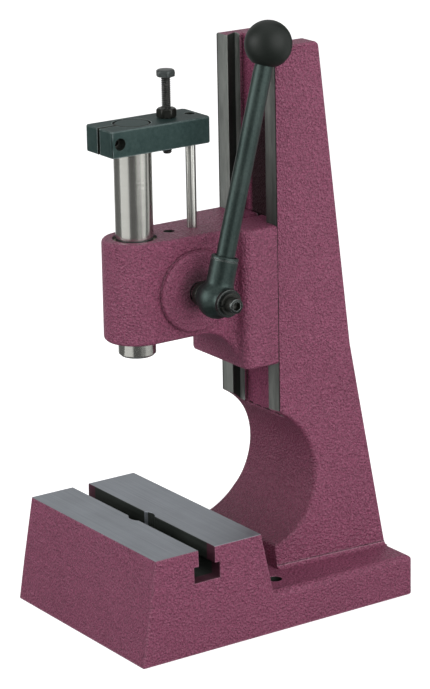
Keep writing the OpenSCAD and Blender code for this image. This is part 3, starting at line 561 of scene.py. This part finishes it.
knobLook = {"cell": 0.0006, "dark": (0.005, 0.008, 0.006), "light": (0.010, 0.014, 0.011), "mottle": (0.3, 0.7),
            "rough": (0.42, 0.55), "spec": 0.3, "bump": 0.1, "depth": 0.00008}


def makeKnobPlastic():
    look = knobLook
    material, tree, shader = newMaterial("knobPlastic", {"Specular IOR Level": look["spec"]})
    skin = placeGroup(tree, hammerSkin, {"Cell": look["cell"]})
    colour = mixColour(tree, remap(tree, skin["Mottle"], *look["mottle"], 0, 1), look["dark"], look["light"])
    dress(tree, shader, colour, remap(tree, skin["Mottle"], *look["mottle"], *look["rough"]), skin["Height"], look)
    return material


footTop = 0.027  # the base ends and the column begins in this plane
hammerPaint = makeHammerPaint("hammerPaint")
headPaint = makeHammerPaint("headPaint", forHead=True)
columnPaint = makeHammerPaint("columnPaint", seam=footTop)
groovePaint = makeHammerPaint("groovePaint", ragged=True)
steel = {name: makeSteel(name) for name in steelLooks}
knobPlastic = makeKnobPlastic()
print("finishes made:", len(bpy.data.materials))

baseLook = {"round": 0.0009, "broken": 0.0005, "segments": 3, "tableTop": 0.0685,
            "slotHalf": 0.0096, "slotLow": 0.0474, "boreRadius": 0.0087, "boltHole": (0.055, 0.00875, 0.0048)}


def makeFrameBase():
    look = baseLook
    mesh = copiedMesh("frame_base", "frameBaseSkin")
    middles, normals = faceArrays(mesh)
    x, y, z = middles.T
    tableTop = lyingAt(z, look["tableTop"]) & facing(normals, 2)
    inSlot = (np.abs(y - ramY) < look["slotHalf"]) & (z > look["slotLow"]) & (z < look["tableTop"])
    inSlot &= running(normals, 0)
    inBore = (np.hypot(x, y - ramY) < look["boreRadius"]) & running(normals, 2)
    holeX, holeY, holeR = look["boltHole"]
    inHole = (np.hypot(np.abs(x) - holeX, y - holeY) < holeR) & running(normals, 2)
    under = lyingAt(z, 0) & facing(normals, 2, -1)
    milled = tableTop | inSlot | inBore | inHole | under
    # finishes: paint, milled steel, and near-black painted shade in the slot and the bolt holes
    setFinish(mesh, np.where(inSlot | inHole, 2, milled))
    addRounded("frameBase", mesh, "frame", "frame_base",
               [hammerPaint, steel["milledSteel"], steel["recessShadeSteel"]], milled, look)


columnLook = {"round": 0.0032, "plainRound": 0.0017, "broken": 0.0005, "segments": 3,
              "throatRadius": 0.047, "throatNear": 2e-4, "throatEnds": (0.050, 0.127), "throatFade": 0.014,
              "guideY": 0.03025, "guideLow": 0.105, "guideHalf": 0.0305,
              "grooveDepth": 0.0095, "grooveHalf": 0.0256, "landFrom": 0.012, "reliefDepth": 0.003}


def makeFrameColumn():
    look = columnLook
    mesh = copiedMesh("frame_column", "frameColumnSkin")
    middles, normals = faceArrays(mesh)
    x, y, z = middles.T
    forward, inGroove = facing(normals, 1, -1), np.abs(x) < look["grooveHalf"]
    floorY = look["guideY"] + look["grooveDepth"]
    guideFace = lyingAt(y, look["guideY"]) & forward
    land = lyingAt(y, floorY) & forward & (np.abs(x) > look["landFrom"])
    undercut = (np.abs(normals[:, 0]) > 0.3) & (normals[:, 1] > 0.2)
    flank = undercut & (y > look["guideY"]) & (y < floorY) & inGroove
    scraped = (guideFace | land | flank) & (z > look["guideLow"])
    relief = (y > floorY + 1e-4) & (y < floorY + look["reliefDepth"]) & inGroove & (z > look["guideLow"]) & forward
    # finishes: paint, scraped steel, near-black painted shade on the undercut flanks, and the groove's paint
    setFinish(mesh, np.where(relief, 3, np.where(flank & scraped, 2, scraped)))

    # the throat's edges are rounder than the rest, less so towards their ends; the guide's outer edges stay sharp
    def castEdges(weights, convex, px, py, pz):
        middleY, middleZ = paintLook["throatAt"]
        low, high = look["throatEnds"]
        inThroat = np.abs(np.hypot(py - middleY, pz - middleZ) - look["throatRadius"]) < look["throatNear"]
        share = inThroat * np.clip(np.minimum(pz - low, high - pz) / look["throatFade"], 0, 1)
        plain = look["plainRound"] / look["round"]
        weights = np.where(weights > 0.99, plain + (1 - plain) * share, weights)
        return np.where(lyingAt(py, look["guideY"]) & (np.abs(px) > look["guideHalf"]), 0, weights)

    addRounded("frameColumn", mesh, "frame", "frame_column",
               [columnPaint, steel["scrapedSteel"], steel["recessShadeSteel"], groovePaint], scraped, look, castEdges, footTop)


headLook = {"round": 0.0026, "broken": 0.0005, "segments": 3, "backY": 0.03015, "backHalf": 0.0305,
            "ramBore": 0.0142, "pinionBore": 0.0216, "boreHalf": 0.0205, "postHole": 0.0042, "buttonHole": 0.0045,
            "clampHole": 0.0043, "clampEnd": 0.032, "bodyLow": 0.188, "flangeY": 0.00515, "margin": 0.001,
            "rimFrom": 0.022, "rimSpan": (0.02, 0.0285), "rimEdge": 0.55}


def makePressHead():
    look = headLook
    mesh = copiedMesh("press_head", "pressHeadSkin")
    middles, normals = faceArrays(mesh)
    x, y, z = middles.T
    back = y > look["backY"] - near
    nearRam = np.hypot(x, y - ramY) < look["ramBore"]
    sinkFloor = (z > look["bodyLow"] + look["margin"]) & (z < boxOf("press_head")[1][2] - look["margin"])
    inRamBore = nearRam & (running(normals, 2) | sinkFloor)
    inPinionBore = np.hypot(y - pinion[1], z - pinion[2]) < look["pinionBore"]
    inPinionBore &= (np.abs(x) < look["boreHalf"]) | running(normals, 0)
    post, button, clamp = middleOf("guide_post"), middleOf("stop_button"), middleOf("head_clamp_screws")
    inPost = (np.hypot(x - post[0], y - post[1]) < look["postHole"]) & running(normals, 2)
    inButton = (np.hypot(x - button[0], y - button[1]) < look["buttonHole"]) & running(normals, 2)
    inClamp = (x > -look["clampEnd"]) & (x < -look["margin"]) & (np.abs(y - clamp[1]) < look["clampHole"])
    inClamp &= running(normals, 0)
    milled = back | inRamBore | inPinionBore | inPost | inButton | inClamp
    # the post, button and clamp holes take the near-black painted shade
    setFinish(mesh, np.where(inPost | inButton | inClamp, 2, milled))

    # smaller round on the boss's rim, sharp joint to the column
    def castShape(weights, convex, px, py, pz):
        fromShaft = np.hypot(py - pinion[1], pz - pinion[2])
        low, high = look["rimSpan"]
        onRim = (px > look["rimFrom"]) & (fromShaft > low) & (fromShaft < high) & (py < look["flangeY"])
        weights = np.where(convex & onRim, look["rimEdge"], weights)
        return np.where(lyingAt(py, look["backY"]) & (np.abs(px) > look["backHalf"]), 0, weights)

    addRounded("pressHead", mesh, "head", "press_head",
               [headPaint, steel["milledSteel"], steel["recessShadeSteel"]], milled, look, castShape)


makeFrameBase()
makeFrameColumn()
makePressHead()

# pieces that keep their CAD shape: node, body, slot, finish and width of the broken edges
softenedPieces = {
    "springHousing": ("spring_housing", "head", "hammer_paint", hammerPaint, 0.0010),
    "springCover": ("spring_cover", "head", "blued_steel", steel["bluedSteel"], 0.0008),
    "coverScrews": ("cover_screws", "head", "black_oxide", steel["blackOxide"], 0.0003),
    "clampScrews": ("head_clamp_screws", "head", "black_oxide", steel["blackOxide"], 0.0004),
    "barClampScrew": ("bar_clamp_screw", "ram", "black_oxide", steel["blackOxide"], 0.0003),
    "hubWasher": ("hub_washer", "lever", "blued_steel", steel["washerSteel"], 0.0005),
    "shaftCollar": ("shaft_collar", "lever", "black_oxide", steel["blackOxide"], 0.0006),
    "stopButton": ("stop_button", "head", "blued_steel", steel["bluedSteel"], 0.0005),
}


def makeSoftened():
    for name, (node, body, slot, finish, width) in softenedPieces.items():
        mesh = copiedMesh(node, name + "Skin")
        piece = addPiece(name, mesh, body, [node], [finish])
        finishShading(mesh)
        roundEdges(piece, width, 2)
    print("softened pieces:", len(softenedPieces))


makeSoftened()

# hidden pieces show their CAD meshes
plainNodes = {
    "upper_ram_bush": "bushBronze", "lower_ram_bush": "bushBronze", "right_shaft_bush": "bushBronze",
    "left_shaft_bush": "bushBronze", "return_spring": "groundSteel", "pinion_shaft": "groundSteel",
    "hub_key": "bluedSteel", "tool_grub_screw": "blackOxide",
}
for plainNode, finish in plainNodes.items():
    nodes[plainNode].data.materials.clear()
    nodes[plainNode].data.materials.append(steel[finish])

barLook = {"round": 0.0009, "broken": 0.00015, "segments": 2, "splitHalf": 0.0009, "splitDrawn": 0.0008,
           "splitSeen": 0.0013, "ramHole": 0.0122, "post": 0.0036, "postFrom": 0.0125, "clamp": 0.0042, "margin": 1e-4}


# painted shade: black inside the split and the holes, whose edges stay sharp
def makeStopBar():
    look = barLook
    mesh = copiedMesh("stop_bar", "stopBarSkin")
    high, clamp = boxOf("stop_bar")[1], middleOf("bar_clamp_screw")
    middles, normals = faceArrays(mesh)
    x, y, z = middles.T
    aside = np.abs(x)
    inSplit = (aside < look["splitHalf"]) & (np.abs(normals[:, 0]) > 0.9)
    inRamHole = running(normals, 2) & (np.hypot(x, y - ramY) < look["ramHole"])
    inPostHoles = running(normals, 2) & (aside < look["post"])
    inPostHoles &= (y > ramY + look["postFrom"]) & (y < high[1] - look["margin"])
    inClamp = np.hypot(y - clamp[1], z - clamp[2]) < look["clamp"]
    inClamp &= (aside < high[0] - look["margin"]) & (aside > look["splitHalf"])
    inside = inSplit | inRamHole | inPostHoles | inClamp
    setFinish(mesh, inside)
    points = pointsOf(mesh)
    atSplit = lyingAt(np.abs(points[:, 0]), look["splitDrawn"]) & (points[:, 1] < ramY)
    # the photo's split is wider than the CAD's
    points[atSplit, 0] = np.sign(points[atSplit, 0]) * look["splitSeen"]
    mesh.vertices.foreach_set("co", points.ravel())
    addRounded("stopBar", mesh, "ram", "stop_bar", [steel["darkOxide"], steel["recessShadeSteel"]], inside, look)


ramLook = {"joint": 0.0014, "foot": 0.0007, "footFrom": 0.0118}


# the ram is ground; its top in the bar is dark like the bar, with a black joint round it
def makeRam():
    look = ramLook
    mesh = copiedMesh("ram", "ramSkin")
    low, high = boxOf("ram")
    middles, normals = faceArrays(mesh)
    top = (middles[:, 2] > high[2] - 1e-4) & facing(normals, 2)
    setFinish(mesh, top)
    piece = addPiece("ramBar", mesh, "ram", ["ram"],
                     [steel["groundSteel"], steel["darkOxide"], steel["recessShadeSteel"]])
    finishShading(mesh)

    def topOnly(weights, convex, px, py, pz):
        return convex * np.where(pz > high[2] - 1e-5, 1, 0)

    weighEdges(mesh, top, look["joint"], look["joint"], topOnly)
    roundEdges(piece, look["joint"], 1, byWeight=True)
    piece.modifiers["roundedEdges"].material = 2
    lines = pointsOf(mesh)[edgeEnds(mesh)]
    atFoot = (lines[:, :, 2] < low[2] + 1e-5) & (np.hypot(lines[:, :, 0], lines[:, :, 1] - ramY) > look["footFrom"])
    footEdge = mesh.attributes.new("footEdge", "FLOAT", "EDGE")
    footEdge.data.foreach_set("value", np.all(atFoot, axis=1).astype(np.float32))
    foot = piece.modifiers.new("footChamfer", "BEVEL")
    foot.width, foot.segments, foot.limit_method, foot.edge_weight = look["foot"], 1, "WEIGHT", "footEdge"
    piece.modifiers.move(len(piece.modifiers) - 1, 0)
    print("ram:", len(mesh.polygons), "faces")


makeStopBar()
makeRam()

upwards = (0, 0, 1)
postLook = {"chamfer": 0.0006, "steps": 48}


def makeGuidePost():
    low, high = boxOf("guide_post")
    r, c = (high[0] - low[0]) / 2, postLook["chamfer"]
    heights, radii = splitRows([(low[2], 0), (low[2], r - c), (low[2] + c, r), (high[2] - c, r),
                                (high[2] - c / 3, r - c / 3), (high[2], r - c), (high[2], 0)])
    centre = middleOf("guide_post") * (1, 1, 0)
    mesh = gridMesh("guidePostSkin", turnedPoints(heights, radii, centre, upwards, postLook["steps"]))
    addPiece("guidePost", mesh, "head", ["guide_post"], [steel["postSteel"]])


stopScrewLook = {"pitch": 0.00125, "thread": 0.003, "root": 0.0023, "tip": 0.0021, "tipLength": 0.0009,
                 "ridge": (1.35, 0.1), "flats": 0.011, "headHeight": 0.0045, "turn": -24, "steps": 48, "rowsPerTurn": 8}


# thread: r(h, a) = root + (crest - root)·(1 - |2·frac(h/pitch - a/2π) - 1|) clipped, narrower at the tip
def makeStopScrew():
    look = stopScrewLook
    low, high = boxOf("stop_screw")
    t = look["headHeight"]
    headLow = high[2] - t
    a = fullTurn(look["steps"])
    h = np.arange(low[2], headLow - 1e-6, look["pitch"] / look["rowsPerTurn"])
    phase = (h[:, None] / look["pitch"] - a[None] / (2 * math.pi)) % 1
    gain, cut = look["ridge"]
    ridge = np.clip(gain * (1 - np.abs(2 * phase - 1)) - cut, 0, 1)
    shank = look["root"] + (look["thread"] - look["root"]) * ridge
    taper = np.clip((h - low[2]) / look["tipLength"], 0, 1)[:, None]
    shank = np.minimum(shank, look["tip"] + (look["thread"] - look["tip"]) * taper)
    headRows, cone = splitRows([(headLow, 0.0050), (headLow + 0.0004, 0.0061), (headLow + t * 0.60, 0.0064),
                                (headLow + t * 0.86, 0.0058), (headLow + t * 0.97, 0.0051), (high[2], 0.0044),
                                (high[2], 0)])
    head = np.minimum(hexRadius(a, look["flats"], math.radians(look["turn"]))[None], cone[:, None])
    heights = np.concatenate([[low[2]], h, headRows])
    radii = np.concatenate([np.zeros((1, len(a))), shank, head])
    centre = middleOf("stop_screw") * (1, 1, 0)
    mesh = gridMesh("stopScrewSkin", turnedPoints(heights, radii, centre, upwards, look["steps"]), sharpAngle=50)
    setFinish(mesh, faceArrays(mesh)[0][:, 2] < headLow - 1e-5)
    addPiece("stopScrew", mesh, "stop", ["stop_screw"], [steel["screwOxide"], steel["threadSteel"]])


nutLook = {"flats": 0.011, "bore": 0.00305, "lead": 0.0004, "steps": 72}


# nut: the hexagon cut by a cone at both ends
def makeStopNut():
    look = nutLook
    low, high = boxOf("stop_nut")[0][2], boxOf("stop_nut")[1][2]
    t, bore, lead = high - low, look["bore"], look["lead"]
    heights, cone = splitRows([(low + lead, bore), (low, bore + lead), (low, 0.0053), (low + 0.0003, 0.0058),
                               (low + t * 0.16, 0.0064), (high - t * 0.18, 0.0064), (high - t * 0.06, 0.0058),
                               (high, 0.0052), (high, bore + lead), (high - lead, bore)])
    radii = np.minimum(hexRadius(fullTurn(look["steps"]), look["flats"])[None], cone[:, None])
    points = turnedPoints(heights, radii, middleOf("stop_nut") * (1, 1, 0), upwards, look["steps"])
    mesh = gridMesh("stopNutSkin", np.concatenate([points, points[:1]]), sharpAngle=40)
    addPiece("stopNut", mesh, "ram", ["stop_nut"], [steel["blackOxide"]])


makeGuidePost()
makeStopScrew()
makeStopNut()
print("guide post, stop screw and nut made")

leverLook = {
    "lean": 15.0, "x": 0.045, "length": 0.162, "rod": 0.006, "rodFrom": 0.0105, "rodSteps": 64,
    "ball": 0.015, "lip": 0.0070, "lipTurn": 0.04, "ballRows": 56, "ballSteps": 96,
    "eye": 0.0125, "half": 0.011, "seat": 0.0085, "neck": 0.00875, "neckTop": 0.0275, "rimLow": 0.0028,
    "mouth": 0.0072, "mouthDepth": 0.004, "blend": 0.0008, "blendEnd": (0.020, 0.004),
    "rayFrom": 0.27, "rays": 120, "steps": 144,
}
leverAxis = np.array([0, math.sin(math.radians(leverLook["lean"])), math.cos(math.radians(leverLook["lean"]))])
hubCentre = np.array([leverLook["x"], pinion[1], pinion[2]])


# hub: on the ray (t from the lever's axis, a round it) the outermost of ball, neck and shaft seats, joined softly:
# r = k·ln(e^(ball/k) + e^(neck/k) + e^(seat/k)), neck = min(neck/sin t, top/cos t), seat = min(seat/sin s, half/cos s)
def makeLeverHub():
    look = leverLook
    axis, u, v = squareTo(leverAxis)
    t = np.linspace(look["rayFrom"], math.pi, look["rays"])
    ray = np.cos(t)[:, None, None] * axis + np.sin(t)[:, None, None] * ringOf(fullTurn(look["steps"]), u, v)[None]
    sine, cosine = np.maximum(np.sin(t), 1e-6)[:, None], np.cos(t)[:, None]
    across = np.abs(ray[..., 0])
    aside = np.sqrt(np.maximum(1 - across ** 2, 1e-9))
    neck = np.minimum(look["neck"] / sine, look["neckTop"] / np.maximum(cosine, 1e-6))
    neck = np.where(cosine > 0, neck, 0) + 0 * across
    end = look["half"] / np.maximum(across, 1e-6)
    seat = np.minimum(look["seat"] / aside, end)
    k, (blendFrom, blendRun) = look["blend"], look["blendEnd"]
    widest = np.maximum(np.maximum(neck, seat), look["eye"])
    total = np.exp((neck - widest) / k) + np.exp((seat - widest) / k) + np.exp((look["eye"] - widest) / k)
    soft = widest + k * np.log(total) * np.clip((blendFrom - neck) / blendRun, 0, 1)
    outside = hubCentre + np.minimum(soft, end)[..., None] * ray
    belowRim = np.tan(np.minimum(t, 1.5)) * (look["neckTop"] - look["rimLow"]) > look["neck"]
    top, mouth, side = look["neckTop"], look["mouth"], look["neck"]
    floor = top - look["mouthDepth"]
    heights, radii = splitRows([(floor, look["rod"]), (floor + 0.0008, mouth - 0.0003), (top - 0.0004, mouth),
                                (top, mouth + 0.0004), (top, side - 0.0008), (top - 0.0004, side - 0.0002),
                                (top - 0.0009, side), (top - 0.0019, side), (top - 0.0021, side - 0.0004),
                                (top - 0.0025, side - 0.0004), (top - 0.0027, side)])
    inside = turnedPoints(heights, radii, hubCentre, leverAxis, look["steps"])
    mesh = gridMesh("leverHubSkin", np.concatenate([inside, outside[belowRim]]), sharpAngle=45)
    addPiece("leverHub", mesh, "lever", ["lever_hub"], [steel["bluedSteel"]])


# rod: a plain turned bar, a little thinner where it enters the ball
def makeLeverRod():
    look = leverLook
    low, high, r = look["rodFrom"], look["length"] - 0.0122, look["rod"]
    heights, radii = splitRows([(low, 0), (low, r), (0.0235, r), (look["length"] * 0.5, r),
                                (look["length"] - 0.018, r), (high, r - 0.0004), (high, 0)])
    mesh = gridMesh("leverRodSkin", turnedPoints(heights, radii, hubCentre, leverAxis, look["rodSteps"]))
    addPiece("leverRod", mesh, "lever", ["lever_rod"], [steel["bluedSteel"]])


# ball: a sphere with a small flat and a rounded lip round the rod
def makeBallKnob():
    look = leverLook
    ball, lip, bore = look["ball"], look["lip"], look["rod"] + 5e-5
    start = math.asin(lip / ball)
    t = np.linspace(math.pi - start - look["lipTurn"], 0, look["ballRows"])
    flat = -ball * math.cos(start)
    heights = np.concatenate([[flat + 0.002, flat, flat], ball * np.cos(t)])
    radii = np.concatenate([[bore, bore, lip - 0.0004], ball * np.sin(t)])
    centre = hubCentre + look["length"] * leverAxis
    mesh = gridMesh("ballKnobSkin", turnedPoints(heights, radii, centre, leverAxis, look["ballSteps"]), sharpAngle=50)
    addPiece("ballKnob", mesh, "lever", ["ball_knob"], [knobPlastic])


hubScrewLook = {"head": 0.005, "height": 0.006, "shank": 0.003, "socket": 0.005, "depth": 0.0032, "bright": 0.0012,
                "knurls": 36, "knurlDepth": 0.00016, "steps": 144}


# cap screw: r(h, a) is knurled on the head's side and hexagonal in the socket
def makeHubScrew():
    look = hubScrewLook
    start, end = boxOf("hub_screw")[0][0], boxOf("hub_screw")[1][0]
    a = fullTurn(look["steps"])
    knurl = look["head"] - look["knurlDepth"] * (0.5 + 0.5 * np.cos(look["knurls"] * a))
    socket, flat = hexRadius(a, look["socket"]), np.ones_like(a)
    under, floor, shank = end - look["height"], end - look["depth"], look["shank"] * flat
    heights, radii = splitRows([(start, 0 * flat), (start, 0.0026 * flat), (start + 0.0004, shank), (under, shank),
                                (under, 0.0047 * flat), (under + 0.0003, knurl), (end - 0.0012, knurl),
                                (end - 0.0009, 0.00485 * flat), (end - 0.0002, 0.0046 * flat), (end, 0.0042 * flat),
                                (end, socket + 0.00025), (end - 0.0003, socket), (floor, socket),
                                (floor, 0.5 * socket), (floor - 0.0006, 0 * flat)])
    centre = [0, pinion[1], pinion[2]]
    mesh = gridMesh("hubScrewSkin", turnedPoints(heights, radii, centre, (1, 0, 0), look["steps"]), sharpAngle=40)
    x, y, z = faceArrays(mesh)[0].T
    setFinish(mesh, (x > end - look["bright"]) & (np.hypot(y - pinion[1], z - pinion[2]) > look["socket"] / 2))
    addPiece("hubScrew", mesh, "lever", ["hub_screw"], [steel["blackOxide"], steel["washerSteel"]])


lockWasherLook = {"inner": 0.0033, "outer": 0.007, "corner": 0.0003, "gap": 9.0, "steps": 90}


# spring washer: a square section carried round the axis, its two ends standing apart
def makeLockWasher():
    look = lockWasherLook
    low, high = boxOf("lock_washer")
    half = math.radians(look["gap"]) / 2
    a = np.linspace(math.pi / 2 + half, math.pi / 2 + 2 * math.pi - half, look["steps"])
    inner, outer, c, t = look["inner"], look["outer"], look["corner"], high[0] - low[0]
    section = np.array([(inner, c), (inner + c, 0), (outer - c, 0), (outer, c),
                        (outer, t - c), (outer - c, t), (inner + c, t), (inner, t - c)])
    axis, u, v = squareTo((1, 0, 0))
    start = np.array([low[0], pinion[1], pinion[2]])
    points = start + section[None, :, 1:] * axis + section[None, :, :1] * ringOf(a, u, v)[:, None]
    mesh = gridMesh("lockWasherSkin", points, sharpAngle=40)
    addPiece("lockWasher", mesh, "lever", ["lock_washer"], [steel["blackOxide"]])


makeLeverHub()
makeLeverRod()
makeBallKnob()
makeHubScrew()
makeLockWasher()
print("lever made")

stageLook = {"floor": (0.66, 0.66, 0.66), "radii": (0, 1.0, 4.0), "drop": -0.0002, "steps": 96, "glow": 0.75,
             "world": 0.48}


def makeStage():
    look = stageLook
    a = fullTurn(look["steps"])
    ring = np.stack([np.cos(a), np.sin(a), np.zeros_like(a)], axis=-1)
    points = np.stack([ring * radius for radius in look["radii"]])
    points[..., 2] = look["drop"]
    floor = bpy.data.objects.new("floor", gridMesh("floorDisc", points, fill=False))
    joinScene(floor)
    material, tree, shader = newMaterial("paleFloor", {"Base Color": (*look["floor"], 1), "Roughness": 0.9,
                                                       "Specular IOR Level": 0.1, "Emission Color": (1, 1, 1, 1)})
    tree.links.new(times(tree, seenByCamera(tree), look["glow"]), shader.inputs["Emission Strength"])
    floor.data.materials.append(material)


# studio walls from grey to white, seen only in reflections, where they stripe the bright round pieces
wallLook = {"near": 0.02, "apron": 0.45, "away": 3.0, "height": 5.0, "lift": 0.001, "steps": 40, "nearGrey": 0.12,
            "spans": ((-26, 29, 0.92), (29, 78, 0.13), (78, 104, 0.28), (104, 146, 0.72), (146, 153, 0.4),
                      (153, 184, 0.75), (184, 215, 0.07), (215, 275, 0.6), (275, 334, 0.16))}


# wall and its apron on the floor: p(a, r, h) = r·(sin a, -cos a) at height h, a from the front towards the lever side
def makeWall(number, start, end, rows, grey):
    name = f"greyWall{number}"
    material = newMaterial(name, {"Base Color": (0, 0, 0, 1), "Specular IOR Level": 0.0, "Emission Strength": 1.0,
                                  "Emission Color": (grey, grey, grey, 1)})[0]
    a = np.radians(np.linspace(start, end, wallLook["steps"]))
    line = np.stack([np.sin(a), -np.cos(a), 0 * a], axis=-1)
    points = np.stack([radius * line + np.array([0, 0, height]) for radius, height in rows])
    wall = bpy.data.objects.new(name, gridMesh(name, points, wrap=False, fill=False))
    joinScene(wall)
    wall.data.materials.append(material)
    wall.visible_camera = wall.visible_diffuse = wall.visible_shadow = wall.visible_transmission = False


def makeWalls():
    look = wallLook
    apron = (look["apron"], look["lift"])
    makeWall(0, 0, 360, [(look["near"], look["lift"]), apron], look["nearGrey"])
    for number, (start, end, grey) in enumerate(look["spans"]):
        makeWall(number + 1, start, end, [apron, (look["away"], look["lift"]), (look["away"], look["height"])], grey)


def makeWorld():
    world = bpy.data.worlds.new("studio")
    bpy.context.scene.world = world
    world.use_nodes = True
    tree = world.node_tree
    back = tree.nodes["Background"]
    back.inputs["Color"].default_value = (1, 1, 1, 1)
    tree.links.new(remap(tree, seenByCamera(tree), 0, 1, stageLook["world"], 1), back.inputs["Strength"])


def placeObject(holder, right, up, back, at):
    holder.matrix_world = Matrix([[right[i], up[i], back[i], at[i]] for i in range(3)] + [[0, 0, 0, 1]])


lamps = {
    "rightLamp": {"at": (1.56, 0.34, 0.80), "size": 2.0, "watts": 26},
    "leftLamp": {"at": (-0.55, -1.49, 0.80), "size": 1.1, "watts": 13.5},
}
lampAim = np.array([0, 0, 0.18])


def makeLamps():
    for name, lamp in lamps.items():
        light = bpy.data.lights.new(name, "AREA")
        light.size = lamp["size"]
        light.energy = lamp["watts"]
        holder = bpy.data.objects.new(name, light)
        joinScene(holder)
        back, right, up = squareTo(np.array(lamp["at"]) - lampAim)
        placeObject(holder, right, up, back, lamp["at"])


cameraLook = {"azimuth": 55.6, "elevation": 15.5, "roll": -1.0, "distance": 1.9263, "aim": (0, 0.01025, 0.22),
              "lens": 156.68, "sensor": 36, "shift": (-0.0120, -0.1054), "far": 20}


def makeCamera():
    look = cameraLook
    az, el, roll = (math.radians(look[key]) for key in ("azimuth", "elevation", "roll"))
    back = np.array([math.sin(az) * math.cos(el), -math.cos(az) * math.cos(el), math.sin(el)])
    right = np.array([math.cos(az), math.sin(az), 0])
    up = np.cross(back, right)
    turnedRight = math.cos(roll) * right + math.sin(roll) * up
    turnedUp = -math.sin(roll) * right + math.cos(roll) * up
    camera = bpy.data.cameras.new("photoCamera")
    camera.lens = look["lens"]
    camera.sensor_width = look["sensor"]
    camera.shift_x, camera.shift_y = look["shift"]
    camera.clip_end = look["far"]
    holder = bpy.data.objects.new("photoCamera", camera)
    joinScene(holder)
    placeObject(holder, turnedRight, turnedUp, back, np.array(look["aim"]) + back * look["distance"])
    bpy.context.scene.camera = holder


makeStage()
makeWalls()
makeWorld()
makeLamps()
makeCamera()
bpy.context.scene.view_settings.view_transform = "Standard"
print("stage, lamps and camera set")
